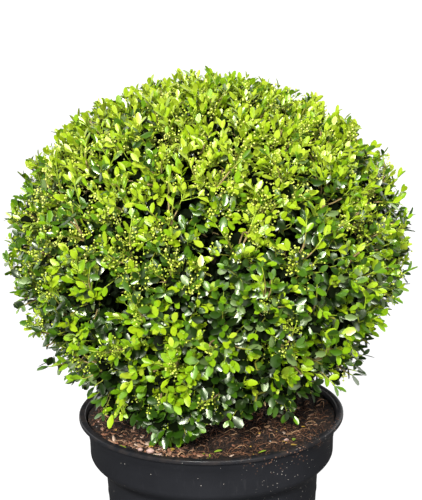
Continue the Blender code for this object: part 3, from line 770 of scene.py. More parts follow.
def outer_wall():
    """The container's outside from under its lip to its foot, as (radius, height) points."""
    shoulder_top = POT_HEIGHT - COLLAR_DEPTH
    shoulder_foot = POT_HEIGHT - SHOULDER_DEPTH
    neck = Vector((RIM_RADIUS - LIP_WIDTH + WALL, POT_HEIGHT - LIP_HEIGHT - LIP_NECK_DEPTH))
    flare = Vector((COLLAR_TOP_RADIUS, POT_HEIGHT - FLARE_DEPTH))
    middle = Vector((COLLAR_RADIUS + COLLAR_TAPER, POT_HEIGHT - COLLAR_MIDDLE_DEPTH))
    tuck = neck - LIP_TUCK
    points = [tuple(spot) for spot in (neck, tuck, between(tuck, flare, 0.6), flare, middle)]
    for step in range(SHOULDER_STEPS):
        share = step / SHOULDER_STEPS
        sweep = 0.5 - 0.5 * math.cos(math.pi * share)
        radius = between(COLLAR_RADIUS, BODY_RADIUS, sweep)
        points.append((radius, between(shoulder_top, shoulder_foot, share)))
    body_top = Vector((BODY_RADIUS, shoulder_foot - BODY_TOP_DROP))
    body_foot = Vector((BASE_RADIUS + FOOT_ROUNDING / 5, FOOT_HEIGHT))
    points += [(BODY_RADIUS - SHOULDER_FOOT_GROOVE, shoulder_foot), tuple(body_top)]
    bead_at = (body_top.y - (POT_HEIGHT - BODY_BEAD_DEPTH)) / (body_top.y - body_foot.y)
    for offset, rise in ((-0.009, 0.0), (-0.004, 1.0), (0.004, 1.0), (0.009, 0.0)):
        on_body = between(body_top, body_foot, bead_at + offset)
        points.append((on_body.x + BODY_BEAD * rise, on_body.y))
    points += [tuple(between(body_top, body_foot, share)) for share in (0.35, 0.55, 0.75, 0.9)]
    return [
        *points,
        tuple(body_foot),
        (BASE_RADIUS - FOOT_ROUNDING / 6, FOOT_HEIGHT / 3),
        (BASE_RADIUS - FOOT_ROUNDING / 2, FOOT_HEIGHT / 10),
        (BASE_RADIUS - FOOT_ROUNDING, 0.0),
    ]


def inner_wall(inset):
    """The container's inside from its rim to its floor, moved in by inset."""
    top, *middle = [(radius - WALL - inset, height) for radius, height in outer_wall()[:-4]]
    floor = FLOOR_TOP + inset
    floor_radius = BASE_RADIUS - WALL - inset
    return [
        (top[0], POT_HEIGHT - LIP_ROUNDING),
        *middle,
        (floor_radius + 0.0004, floor + 0.006),
        (floor_radius - 0.0040, floor),
    ]


def round_lip(inner_radius):
    """The lip from the inside of the rim over its top to its underside, as (radius, height) points."""
    soft = LIP_ROUNDING
    inside = Vector((inner_radius + soft, POT_HEIGHT - soft))
    outside = Vector((RIM_RADIUS - soft, POT_HEIGHT - 1.2 * soft))
    under = Vector((RIM_RADIUS - soft, POT_HEIGHT - LIP_HEIGHT + soft))
    points = []
    for middle, first, last in ((inside, 160, 95), (outside, 85, 0), (under, 0, -90)):
        for step in range(5):
            turn = math.radians(between(first, last, step / 4))
            points.append((middle.x + soft * math.cos(turn), middle.y + soft * math.sin(turn)))
    return points


def turned(profile, segments):
    """A bmesh turned about Z from (radius, height) points that begin and end on the axis."""
    bm = bmesh.new()
    points = [bm.verts.new((radius, 0.0, height)) for radius, height in profile]
    lines = [bm.edges.new(pair) for pair in zip(points, points[1:])]
    whole = {"cent": (0, 0, 0), "axis": (0, 0, 1), "angle": 2 * math.pi}
    bmesh.ops.spin(bm, geom=points + lines, steps=segments, **whole)
    bmesh.ops.remove_doubles(bm, verts=bm.verts, dist=1e-6)
    bmesh.ops.dissolve_degenerate(bm, dist=1e-7, edges=bm.edges)
    return bm


def shade_round(item, sharpest):
    """Shades smooth, apart from edges that turn more than sharpest degrees."""
    item.data.shade_smooth()
    item.data.set_sharp_from_angle(angle=math.radians(sharpest))


def specks(finish, where, scale, across, chosen):
    """Small dots, one in each chosen cell: chosen is about the share of the cells."""
    dot = finish.cells(where, scale) < across
    return dot * (finish.cells(where, scale, "Color") < between(0.2, 0.62, chosen))


def black_plastic():
    """Moulded nursery plastic: soft sheen, fine scuffs and specks of dried soil."""
    finish = Finish("black_plastic")
    where = finish.where()
    across, back, height = [
        finish.node("ShaderNodeSeparateXYZ", inputs={"Vector": where}, output=axis) for axis in "XYZ"
    ]
    cloud = finish.grain(where, 9.0, 4.0)
    scuffs = finish.spread(finish.grain(finish.where((1.0, 1.0, 0.18)), 240.0, 2.0), 0.62, 0.80)
    base = finish.mix(finish.spread(cloud, 0.35, 0.7), (0.0140, 0.0146, 0.0174), (0.0200, 0.0209, 0.0248))
    base = finish.mix(scuffs * 0.22, base, (0.050, 0.050, 0.054))
    rim_dust = finish.spread(height, POT_HEIGHT - 0.010, POT_HEIGHT)
    rim_dust = rim_dust * finish.spread(finish.grain(where, 60.0, 4.0), 0.45, 0.75)
    base = finish.mix(rim_dust * 0.35, base, (0.120, 0.085, 0.060))
    right_front = finish.spread(across + finish.grain(where, 18.0, 2.0) * 0.10, 0.085, 0.130)
    right_front = right_front * (1.0 - finish.spread(back, -0.060, -0.020) * 0.85)
    uneven_height = height + finish.grain(where, 30.0, 2.0) * 0.02
    by_lip = finish.spread(uneven_height, POT_HEIGHT - 0.024, POT_HEIGHT - 0.004)
    dirt = specks(finish, where, 330.0, 0.36, 0.42) * right_front * by_lip
    dirt = dirt * finish.spread(finish.grain(where, 70.0, 1.0), 0.46, 0.52)
    dust = specks(finish, where, 300.0, 0.17, 0.16) * right_front + specks(finish, where, 210.0, 0.10, 0.04)
    base = finish.mix(dirt, base, (0.240, 0.130, 0.085))
    base = finish.mix(dust, base, (0.560, 0.520, 0.470))
    finish.set("Base Color", base)
    finish.set("Specular IOR Level", 0.050)
    finish.set("Coat Roughness", 0.22)
    finish.set("Coat Weight", finish.spread(height, POT_HEIGHT - 0.009, POT_HEIGHT - 0.004) * 0.30)
    finish.set("Roughness", finish.spread(cloud, 0.2, 0.8) * 0.14 + scuffs * 0.16 + dirt * 0.4 + 0.32)
    finish.bump(finish.grain(where, 520.0, 2.0) * 0.35 + dirt + dust + scuffs * 0.2, 0.0004, 0.5)
    return finish.material


def make_pot():
    inner = inner_wall(0.0)
    underside = [
        (FOOT_RING_RADIUS, 0.0),
        (FOOT_RING_RADIUS - RECESS_SLOPE, RECESS_HEIGHT),
        (CENTRE_PAD_RADIUS + RECESS_SLOPE, RECESS_HEIGHT),
        (CENTRE_PAD_RADIUS, 0.0),
        (0.0, 0.0),
    ]
    profile = [(0.0, FLOOR_TOP), *reversed(inner[1:]), *round_lip(inner[0][0]), *outer_wall(), *underside]
    pot = place("nursery_pot", mesh_from(turned(profile, POT_SEGMENTS), "nursery_pot"), black_plastic())
    holes = bpy.data.collections.new("drain_holes")
    bpy.context.scene.collection.children.link(holes)
    for index in range(DRAIN_HOLES):
        around = Matrix.Rotation(2 * math.pi * (index + 0.5) / DRAIN_HOLES, 4, "Z")
        bm = bmesh.new()
        spot = around @ Matrix.Translation((DRAIN_CIRCLE_RADIUS, 0.0, 0.0))
        size = {"radius1": DRAIN_HOLE_RADIUS, "radius2": DRAIN_HOLE_RADIUS, "depth": 4 * FLOOR_TOP}
        bmesh.ops.create_cone(bm, cap_ends=True, segments=28, matrix=spot, **size)
        holes.objects.link(bpy.data.objects.new(f"drain_hole_{index}", mesh_from(bm, "drain_hole")))
    cut = pot.modifiers.new("Drain holes", "BOOLEAN")
    cut.operand_type = "COLLECTION"
    cut.collection = holes
    apply_modifiers(pot)
    for hole in list(holes.objects):
        bpy.data.objects.remove(hole)
    bpy.data.collections.remove(holes)
    shade_round(pot, 32.0)
    finish_piece(pot, "black_plastic", "pot")


# Potting soil


def soil_relief(x, y):
    """The soil's height above its level, nought on the pad where the stem stands."""
    waves = math.sin(41 * x + 0.6) * math.cos(33 * y - 0.4) + 0.5 * math.sin(67 * y + 23 * x)
    forward = max(0.0, -y - 0.35 * x) / RIM_RADIUS
    off_pad = (math.hypot(x, y) - STEM_PAD_RADIUS) / STEM_PAD_RADIUS
    return (SOIL_RELIEF * waves + SOIL_FRONT_RISE * forward) * min(1.0, max(0.0, off_pad))


def soil_height(x, y):
    """The soil's surface with its lumps and crumbs, a little heaped against the container's wall."""
    lumps = noise.fractal(Vector((x, y, 0.2)) * 55.0, 0.7, 2.1, 4)
    crumbs = noise.noise(Vector((x, y, 1.7)) * 260.0)
    heap = SOIL_EDGE_HEAP * smooth_step(math.hypot(x, y), 0.120, 0.166)
    return SOIL_LEVEL + soil_relief(x, y) + heap + SOIL_LUMPS * lumps + SOIL_CRUMBS * crumbs


def on_surface(x, y, lift):
    return Vector((x, y, soil_height(x, y) + lift))


def potting_soil():
    finish = Finish("potting_soil", roughness=0.95)
    where = finish.where()
    peat = finish.grain(where, 70.0, 5.0, 0.7)
    fibres = finish.grain(finish.where((1.0, 0.25, 1.0)), 420.0, 2.0)
    base = finish.ramp(
        peat,
        (0.34, (0.0045, 0.0028, 0.0022)),
        (0.52, (0.0190, 0.0100, 0.0062)),
        (0.74, (0.0800, 0.0380, 0.0210)),
    )
    base = finish.mix(finish.spread(fibres, 0.62, 0.74), base, (0.190, 0.100, 0.050))
    finish.set("Base Color", base)
    finish.bump(peat + fibres * 0.4, 0.0022, 0.9)
    return finish.material


def make_soil():
    top, *wall = inner_wall(SOIL_SIDE_GAP)[1:]
    rim_radius = between(wall[0][0], top[0], 0.5)
    rings = [(rim_radius * index / SOIL_RINGS, SOIL_LEVEL) for index in range(SOIL_RINGS + 1)]
    profile = [*rings, *[point for point in wall if point[1] < SOIL_LEVEL - 0.004], (0.0, wall[-1][1])]
    bm = turned(profile, SOIL_SEGMENTS)
    for vert in bm.verts:
        if abs(vert.co.z - SOIL_LEVEL) < 1e-6:
            vert.co.z = soil_height(vert.co.x, vert.co.y)
    soil = place("potting_soil_bed", mesh_from(bm, "potting_soil_bed"), potting_soil())
    soil.data.shade_smooth()
    finish_piece(soil, "potting_soil", "soil")


def flake(rng, corners, thickness):
    """A thin chip with an uneven outline, about one unit long, lying flat."""
    bm = bmesh.new()
    upper, lower = [], []
    for step in range(corners):
        turn = 2 * math.pi * step / corners
        reach = rng.uniform(0.34, 0.54)
        spot = Vector((0.55 * reach * math.cos(turn), reach * math.sin(turn), rng.uniform(-0.05, 0.05)))
        upper.append(bm.verts.new(spot + Vector((0, 0, thickness / 2))))
        lower.append(bm.verts.new(spot - Vector((0, 0, thickness / 2))))
    bm.faces.new(upper)
    bm.faces.new(reversed(lower))
    for step in range(corners):
        after = (step + 1) % corners
        bm.faces.new((upper[step], lower[step], lower[after], upper[after]))
    bmesh.ops.triangulate(bm, faces=bm.faces)
    return mesh_from(bm, "flake")


def lump(rng, unevenness):
    """A rounded crumb or pebble, about one unit across."""
    bm = bmesh.new()
    bmesh.ops.create_icosphere(bm, subdivisions=1, radius=0.5)
    for vert in bm.verts:
        vert.co *= 1.0 + rng.uniform(-unevenness, unevenness)
    return mesh_from(bm, "lump")


def plain(name, colour, roughness, gloss=0.5):
    finish = Finish(name, base_color=colour, roughness=roughness)
    finish.set("Specular IOR Level", gloss)
    return finish.material


def waxy(name, colour, roughness, wax):
    """A leaf's finish: its green under a coat of wax, which takes the white of the light."""
    finish = Finish(name, base_color=colour, roughness=roughness)
    finish.set("Specular IOR Level", LEAF_GLOSS * wax)
    finish.set("Specular Tint", SHEEN_TINT)
    finish.set("Coat Weight", min(1.0, WAX_WEIGHT * wax))
    finish.set("Coat IOR", WAX_IOR)
    finish.set("Coat Roughness", roughness)
    return finish.material


def on_soil(rng, furthest=LITTER_RADIUS):
    """A place on the soil, and how far it lies towards the front left, from 0 to 1."""
    while True:
        reach = furthest * math.sqrt(rng.uniform(0.0, 1.0))
        around = rng.uniform(0.0, 2 * math.pi)
        x, y = reach * math.cos(around), reach * math.sin(around)
        if reach > STEM_FREE_RADIUS:
            by_front = smooth_step(-y, 0.030, 0.090)
            return x, y, by_front * smooth_step(-1.2 * x - 0.8 * y, 0.050, 0.190)


def lying(rng, tilt):
    """The way and the face of a loose thing that lies at a random turn."""
    around = rng.uniform(0.0, 2 * math.pi)
    face = Vector((rng.uniform(-tilt, tilt), rng.uniform(-tilt, tilt), 1.0)).normalized()
    way = Vector((math.cos(around), math.sin(around), 0.0))
    return (way - face * way.dot(face)).normalized(), face


def make_chips(rng):
    """Bark chips, large and pale towards the front left."""
    palette = [plain(*finish) for finish in CHIP_PALETTE]
    shapes = shape_collection("chip_shapes", [flake(rng, 7 + number % 3, 0.14) for number in range(7)])
    spots = []
    for _ in range(CHIPS):
        x, y, front_left = on_soil(rng)
        if rng.random() > CHIPS_ALL_OVER + CHIPS_FRONT_LEFT * front_left:
            continue
        length = rng.uniform(*CHIP_LENGTHS) * (1.0 + 0.9 * front_left * rng.random() ** 2)
        way, face = lying(rng, 0.55)
        root = on_surface(x, y, 0.10 * length)
        tint = min(4, int(rng.triangular(0.0, 5.0, 0.8 + 2.6 * front_left)))
        size = (length * rng.uniform(0.6, 1.2), length, length * rng.uniform(0.7, 1.3))
        spots.append((root, way, face, size, rng.randrange(7), tint))
    return set_out("bark_chips", spots, shapes, palette)


def make_crumbs(rng):
    """Crumbs of peat with a few pebbles and grains of feed among them."""
    palette = [plain(*finish) for finish in CRUMB_PALETTE]
    shapes = shape_collection("crumb_shapes", [lump(rng, 0.24) for _ in range(5)])
    spots = []
    for _ in range(CRUMBS):
        x, y, _ = on_soil(rng, CRUMB_LITTER_RADIUS)
        across = rng.uniform(*CRUMB_SIZES)
        kind = rng.random()
        tint = 0 if kind < 0.55 else 1
        if kind > 1.0 - GRAINS:
            tint = rng.choice(GRAIN_TINTS)
            across *= 0.75
        way, face = lying(rng, 0.8)
        root = on_surface(x, y, 0.2 * across)
        size = (across, across * rng.uniform(1.0, 1.4), across * 0.8)
        spots.append((root, way, face, size, rng.randrange(5), tint))
    for x, y, across in PEBBLES:
        root = on_surface(x, y, 0.3 * across)
        spots.append((root, Vector((1.0, 0.0, 0.0)), UP, (across, 1.3 * across, 0.8 * across), 0, 2))
    return set_out("soil_crumbs", spots, shapes, palette)


def make_fallen_leaves(rng):
    """Leaves that have dropped on the soil, most of them dry, a few still yellow or green."""
    palette = [plain(*finish) for finish in FALLEN_LEAF_PALETTE]
    spots = []
    for _ in range(DRY_LEAVES):
        x, y, _ = on_soil(rng, LEAF_LITTER_RADIUS)
        way, face = lying(rng, 0.5)
        length = rng.uniform(*DRY_LEAF_LENGTHS)
        root = on_surface(x, y, 0.0020)
        size = (length * rng.uniform(0.6, 0.9), length, length * rng.uniform(1.0, 2.2))
        spots.append((root, way, face, size, rng.choice(OLD_SHAPES), rng.choice(DRY_LEAF_TINTS)))
    for x, y, tint in FALLEN_LEAVES:
        way, face = lying(rng, 0.35)
        root = on_surface(x, y, 0.0030)
        spots.append((root, way, face, FALLEN_LEAF_SIZE, rng.choice(NEW_SHAPES), tint))
    return set_out("fallen_leaves", spots, leaf_shapes(), palette)


def make_fibres(rng):
    """Strands of coconut and root fibre, most of them away from the front left."""
    palette = [plain(*finish) for finish in FIBRE_PALETTE]
    lines = []
    for _ in range(FIBRES):
        x, y, front_left = on_soil(rng, FIBRE_LITTER_RADIUS)
        if rng.random() < FIBRES_LEFT_OUT * front_left:
            continue
        length = rng.uniform(*FIBRE_LENGTHS)
        way, _ = lying(rng, 0.0)
        bend = rng.uniform(-FIBRE_BEND, FIBRE_BEND)
        rise = rng.uniform(*FIBRE_RISES)
        radius = rng.uniform(*FIBRE_RADII)
        tint = rng.choice(FIBRE_TINTS)
        if rng.random() < ROOTS:
            radius = rng.uniform(*ROOT_RADII)
            tint = rng.choice(ROOT_TINTS)
        start = Vector((x, y, 0.0)) - way * length / 2
        line = []
        for step in range(6):
            share = step / 5
            aside = Vector((-way.y, way.x, 0.0)) * bend * length * math.sin(math.pi * share)
            spot = start + way * length * share + aside
            if spot.length < LITTER_RADIUS:
                spot.z = soil_height(spot.x, spot.y) + rise * math.sin(math.pi * share)
                line.append((spot, radius, tint))
        if len(line) > 3:
            lines.append(line)
    return rods("dry_fibres", lines, palette, 3)


def make_litter():
    """What lies on the soil."""
    rng = random.Random(SEED + 1)
    for make in (make_chips, make_crumbs, make_fallen_leaves, make_fibres):
        finish_piece(make(rng), "potting_soil")


# Stem and boughs


def bough_ways():
    """The direction in which each bough leaves the fork: the side boughs in turn, then the leader."""
    ways = []
    for index in range(SIDE_BOUGHS):
        around = 2 * math.pi * (index + FIRST_BOUGH_TURN) / SIDE_BOUGHS
        slope = SIDE_BOUGH_SLOPE + SLOPE_CHANGE * math.sin(SLOPE_WAVE * index)
        level = math.cos(slope)
        ways.append(Vector((math.cos(around) * level, math.sin(around) * level, math.sin(slope))))
    return [*ways, LEADER_WAY]


def hollow_reach(way):
    """How far the hollow's wall is from the crown's centre along a unit direction."""
    level = math.hypot(way.x, way.y)
    for (upper_radius, upper), (lower_radius, lower) in zip(HOLLOW_PROFILE, HOLLOW_PROFILE[1:]):
        before = way.z * upper_radius - level * upper
        after = way.z * lower_radius - level * lower
        if before <= 0.0 <= after:
            share = before / (before - after)
            return math.hypot(between(upper_radius, lower_radius, share), between(upper, lower, share))
    return HOLLOW_PROFILE[0][1]


def bough_routes(rings):
    """The line of each bough from its stub to its tip in the foliage."""
    routes = []
    for index, way in enumerate(bough_ways()):
        start = FORK + way * (STUB_LENGTH + CLEARANCE)
        aim = LEADER_AIM
        if index < SIDE_BOUGHS:
            level_way = Vector((way.x, way.y, 0.0)).normalized()
            aim = (level_way + Vector((0, 0, SIDE_BOUGH_RISES[index]))).normalized()
        end = CROWN_CENTRE + aim * (hollow_reach(aim) + SOCKET_DEPTH)
        bend = start + way * BOUGH_STRAIGHT
        pull = BOUGH_PULL * (end - bend).length
        curve = interpolate_bezier(bend, bend + way * pull, end - aim * pull, end, rings)
        routes.append([start - way * 0.002, *curve])
    return routes


def bark_tube(route, radii, sides, lobe_depths=None):
    """A closed bmesh tube along route, with ridges and swelling knots of bark in its surface."""
    bm = bmesh.new()
    rings = []
    side_way = None
    for index, point in enumerate(route):
        ahead = route[min(index + 1, len(route) - 1)]
        behind = route[max(index - 1, 0)]
        along = (ahead - behind).normalized()
        guide = side_way if side_way is not None else along.orthogonal()
        side_way = (guide - along * guide.dot(along)).normalized()
        other_way = along.cross(side_way)
        lobe = lobe_depths[index] if lobe_depths else 0.0
        ring = []
        for step in range(sides):
            turn = 2 * math.pi * step / sides
            offset = side_way * math.cos(turn) + other_way * math.sin(turn)
            radius = radii[index] * (1.0 + lobe * math.cos(ROOT_LOBES * turn))
            spot = point + offset * radius
            ridges = noise.noise(Vector((spot.x * 300, spot.y * 300, spot.z * 90)))
            knots = noise.noise(spot * 70.0)
            radius += BARK_RELIEF * (0.55 * ridges + 0.6 * knots)
            ring.append(bm.verts.new(point + offset * radius))
        rings.append(ring)
    for lower, upper in zip(rings, rings[1:]):
        for step in range(sides):
            after = (step + 1) % sides
            bm.faces.new((lower[step], lower[after], upper[after], upper[step]))
    bm.faces.new(reversed(rings[0]))
    bm.faces.new(rings[-1])
    return bm


def old_bark():
    """Grey-brown bark with long cracks, paler ridges and a little green algae."""
    finish = Finish("old_bark")
    where = finish.where()
    cracks = finish.grain(finish.where((1.0, 1.0, 0.22)), 420.0, 4.0, 0.65)
    patches = finish.grain(where, 42.0, 3.0)
    base = finish.ramp(
        cracks,
        (0.32, (0.020, 0.014, 0.010)),
        (0.50, (0.105, 0.078, 0.052)),
        (0.70, (0.215, 0.175, 0.125)),
    )
    base = finish.mix(finish.spread(patches, 0.52, 0.72) * 0.45, base, (0.110, 0.125, 0.055))
    finish.set("Base Color", base)
    finish.set("Roughness", finish.spread(cracks, 0.2, 0.8) * -0.15 + 0.92)
    finish.bump(cracks + patches * 0.4, 0.0012, 0.9)
    return finish.material


def even_steps(first, last, steps):
    return [between(first, last, step / steps) for step in range(steps + 1)]


def make_limbs():
    """The stem with its flare and fork, and the seven boughs, in bark."""
    bark = old_bark()
    foot = Vector((0.0, 0.0, SOIL_LEVEL - 0.003))
    route, radii, lobes = [], [], []
    for (rise, radius), (next_rise, next_radius) in zip(STEM_PROFILE, STEM_PROFILE[1:]):
        for share in even_steps(0.0, 1.0, 5)[:-1]:
            height = between(rise, next_rise, share)
            lean = max(0.0, (height - FLARE_HEIGHT) / (FORK_HEIGHT - FLARE_HEIGHT))
            route.append(foot + Vector((0, 0, height)) + STEM_LEAN * min(1.0, lean))
            radii.append(between(radius, next_radius, share))
            lobes.append(ROOT_LOBE_DEPTH * max(0.0, 1.0 - height / ROOT_LOBE_HEIGHT))
    parts = [mesh_from(bark_tube(route, radii, 2 * BARK_SIDES, lobes), "trunk")]
    stub_radii = even_steps(BOUGH_RADIUS * STUB_SWELLING, BOUGH_RADIUS, 8)
    for way in bough_ways():
        stub_route = even_steps(FORK, FORK + way * STUB_LENGTH, 8)
        parts.append(mesh_from(bark_tube(stub_route, stub_radii, BARK_SIDES), "stub"))
    bm = bmesh.new()
    for part in parts:
        bm.from_mesh(part)
        bpy.data.meshes.remove(part)
    stem = place("stem_bark", mesh_from(bm, "stem_bark"), bark)
    fuse = stem.modifiers.new("Fuse", "REMESH")
    fuse.mode = "VOXEL"
    fuse.voxel_size = FUSED_GRAIN
    ease = stem.modifiers.new("Ease", "SMOOTH")
    ease.iterations = 3
    mesh = apply_modifiers(stem)
    if not mesh.materials:
        mesh.materials.append(bark)
    mesh.shade_smooth()
    finish_piece(stem, "bark", "stem")
    for index, route in enumerate(bough_routes(BOUGH_RINGS)):
        node = "leader_bough" if index == SIDE_BOUGHS else f"side_bough_{index + 1}"
        radii = even_steps(BOUGH_RADIUS, BOUGH_TIP_RADIUS, len(route) - 1)
        bough = place(f"{node}_bark", mesh_from(bark_tube(route, radii, BARK_SIDES), node), bark)
        bough.data.shade_smooth()
        finish_piece(bough, "bark", node)


# Growth of the crown


def unevenness(way):
    """How the clipped outline comes and goes round the crown, between about -1 and 1."""
    around = math.atan2(way.y, way.x)
    return 0.6 * math.sin(3 * around + 1.1) * way.z + 0.4 * math.sin(5 * around + 7 * way.z - 1.1)


def outline(way):
    """How far the crown reaches from its centre along a unit direction."""
    level = (way.x * way.x + way.y * way.y) / CROWN_RADIUS**2
    upright = way.z * way.z / CROWN_HALF_HEIGHT**2
    return (1.0 + OUTLINE_UNEVENNESS * unevenness(way)) / math.sqrt(level + upright)


def in_crown(way, *shares):
    """The point along a direction from the crown's centre where the outline is, times each share."""
    reach = way * outline(way)
    for share in shares:
        reach = reach * share
    return CROWN_CENTRE + reach


def read_off(stations, value):
    """What a run of (place, amount) stations gives at a value between them."""
    return float(np.interp(value, *zip(*stations)))


def fullness(way):
    """How far the growth since the last clipping carries the outline out."""
    return 1.0 + read_off(GROWTH_SINCE_CLIPPING, way.z)


def share_of_outline(point):
    away = point - CROWN_CENTRE
    return away.length / outline(away.normalized())


def height_share(point):
    """0 at the crown's foot and 1 at its top."""
    low = CROWN_CENTRE.z - CROWN_HALF_HEIGHT
    return (point.z - low) / (2 * CROWN_HALF_HEIGHT)


def by_height(change, height):
    """What a (value below, value above, from height, to height) change gives at a height."""
    below, above, low, high = change
    return between(below, above, smooth_step(height, low, high))


def shoot_ways(count):
    """Directions spread evenly over the crown, leaving out the bare middle of its underside."""
    for index in range(count):
        height = 1.0 - (1.0 - LOWEST_SHOOT) * (index + 0.5) / count
        level = math.sqrt(1.0 - height * height)
        around = index * GOLDEN_ANGLE
        yield Vector((level * math.cos(around), level * math.sin(around), height))


def any_way(rng, reach):
    return Vector([rng.uniform(-reach, reach) for _ in range(3)])


def swayed(way, reach, rng):
    """A direction turned a little at random."""
    return (way + any_way(rng, reach)).normalized()


def turned_up(way, rng):
    return swayed(way + UP * UPWARD_TURN, SHOOT_SWAY, rng)


def scattered_ways(count, reach, rng):
    """Directions spread over the crown, each turned a little at random."""
    for way in shoot_ways(count):
        yield swayed(way, reach, rng)


def square_to(along, turn):
    """The direction square to a twig at a turn round it."""
    return Matrix.Rotation(turn, 3, along) @ along.orthogonal().normalized()


class Shoot:
    """A length of wood: its line, the wood that carries it and how many shoots hang on it."""

    def __init__(self, route, carrier=None):
        self.route = route
        self.carrier = carrier
        self.load = 1.0
        while carrier:
            carrier.load += 1.0
            carrier = carrier.carrier


class Wood:
    """The wood so far, as points that new wood may leave from."""

    def __init__(self):
        self.points = []
        self.ways = []
        self.owners = []
        self.arrays = None

    def add(self, shoot, first_share=0.0):
        route = shoot.route
        for index in range(int(first_share * len(route)), len(route) - 1):
            self.points.append(route[index])
            self.ways.append((route[index + 1] - route[index]).normalized())
            self.owners.append(shoot)
        self.arrays = None

    def start_for(self, end, outward, nearest, furthest):
        """The best place for new wood to leave from, on its way to end: near it and not turned from it."""
        if self.arrays is None:
            self.arrays = np.array(self.points), np.array(self.ways)
        places, ways = self.arrays
        away = np.array(end) - places
        distance = np.linalg.norm(away, axis=1)
        turn = (away * ways).sum(1) / np.maximum(distance, 1e-6)
        rise = (away @ np.array(outward)) / np.maximum(distance, 1e-6)
        cost = distance * (FARNESS - turn - OUTWARDNESS * rise)
        cost = cost + TOO_NEAR * (distance < nearest) + TOO_FAR * (distance > furthest)
        cost = cost + TOO_SHARP * (turn < LEAST_TURN)
        best = int(np.argmin(cost))
        return self.points[best], self.ways[best], self.owners[best]


def bent_route(start, first_way, end, last_way, points, rng, sway):
    """A line that leaves start along first_way and reaches end along last_way, with a slight waver."""
    pull = WOOD_PULL * (end - start).length
    leaving = (first_way + (end - start).normalized()).normalized()
    curve = interpolate_bezier(start, start + leaving * pull, end - last_way * pull, end, points)
    inner = [spot + any_way(rng, sway) for spot in curve[1:-1]]
    return [curve[0], *inner, curve[-1]]


def grow_branch(wood, way, tip, reach, points, sway, rng):
    """A branch that leaves the nearest wood, bends outwards and runs straight out to its tip."""
    root = in_crown(way, TWIG_ROOT_SHARE)
    start, first_way, carrier = wood.start_for(root, way, *reach)
    route = bent_route(start, first_way, root, (tip - root).normalized(), points, rng, sway)
    route += [between(root, tip, share) + any_way(rng, BRANCH_END_SWAY) for share in (0.33, 0.66, 1.0)]
    branch = Shoot(route, carrier)
    wood.add(branch)
    return branch


def grow_branches(rng):
    """The crown's branches: one for each shoot of the solid, from the boughs or from an earlier branch."""
    wood = Wood()
    for route in bough_routes(14):
        wood.add(Shoot(route), 0.45)
    ways = list(shoot_ways(BRANCHES))
    branches = []
    for index in sorted(range(BRANCHES), key=lambda number: number * ORDER_STEP % BRANCHES):
        out = turned_up(ways[index], rng)
        tip = in_crown(out, TWIG_TIP_SHARE, rng.uniform(*BRANCH_TIP_SHARES))
        branches.append(grow_branch(wood, ways[index], tip, BRANCH_REACH, 12, 0.0012, rng))
    for number, tip in enumerate(LOW_SPRAYS + MORE_LOW_SPRAYS * 2 + LOW_SPRAYS * 3):
        if number >= len(LOW_SPRAYS):
            tip = tip + Vector([rng.uniform(*limits) for limits in LOW_SPRAY_SCATTER])
        away = Vector((tip.x, tip.y, 0.0)).normalized()
        way = (away - UP * LOW_SPRAY_DROP).normalized()
        branches.append(grow_branch(wood, way, tip, LOW_SPRAY_REACH, 10, 0.001, rng))
    return branches


def past_clipping(point):
    """Whether a leaf or bud that ends at a point would stand farther out than new growth does."""
    low, high = CAD_BOX
    return not all(low[axis] - NEW_REACH < point[axis] < high[axis] + NEW_REACH for axis in (0, 1))


class Crown:
    """Everything that the growth makes, gathered by kind until it is made into meshes."""

    def __init__(self, rng):
        self.rng = rng
        self.wood = {kind: [] for kind in WOOD_SIDES}
        self.leaves = [[] for _ in range(LEAF_GROUPS)]
        self.buds = []

    def add_wood(self, kind, route, radius_at, tint_at):
        """A length of wood whose radius and tint follow the share of the way along it."""
        places = [(spot, index / (len(route) - 1)) for index, spot in enumerate(route)]
        self.wood[kind].append([(spot, radius_at(share), tint_at(share)) for spot, share in places])

    def add_leaf(self, root, way, face, length, shapes, tint, breadth=1.0):
        rng = self.rng
        tip = root + way * length
        by_rim = math.hypot(tip.x, tip.y) > OVER_RIM_RADIUS
        if tip.z < (POT_HEIGHT + RIM_AIR if by_rim else SOIL_LEVEL + SOIL_AIR):
            return
        across = length * breadth * rng.uniform(*LEAF_WIDTHS)
        shape = rng.choice(shapes)
        if past_clipping(tip):
            return
        group = int((math.atan2(tip.y, tip.x) / (2 * math.pi) + 0.5) * LEAF_GROUPS) % LEAF_GROUPS
        if tint != PAINTED_SHEEN_LEAF:
            tint = min(PAINTED_SHEEN_LEAF - 1, max(0, round(tint)))
        self.leaves[group].append((root, way, face, (across, length, length), shape, tint))

    def add_buds(self, node, along, outward, ripeness):
        """A small loose cluster of flower buds on thin stalks in a leaf's angle."""
        rng = self.rng
        for _ in range(rng.choice(BUDS_IN_CLUSTER)):
            way = swayed(outward + along * rng.uniform(*BUD_RISES), BUD_TOSS, rng)
            end = node + way * rng.uniform(*STALK_LENGTHS)
            if end.z < POT_HEIGHT + RIM_AIR:
                continue
            across = rng.uniform(*BUD_SIZES)
            tint = min(2, max(0, round(ripeness + rng.gauss(0.0, BUD_TINT_SPREAD))))
            if past_clipping(end):
                continue
            self.wood["bud_stalks"].append([(node, *STALK_FOOT), (end, *STALK_TIP)])
            self.buds.append((end, way, way.orthogonal(), (across, across, across), 0, tint))


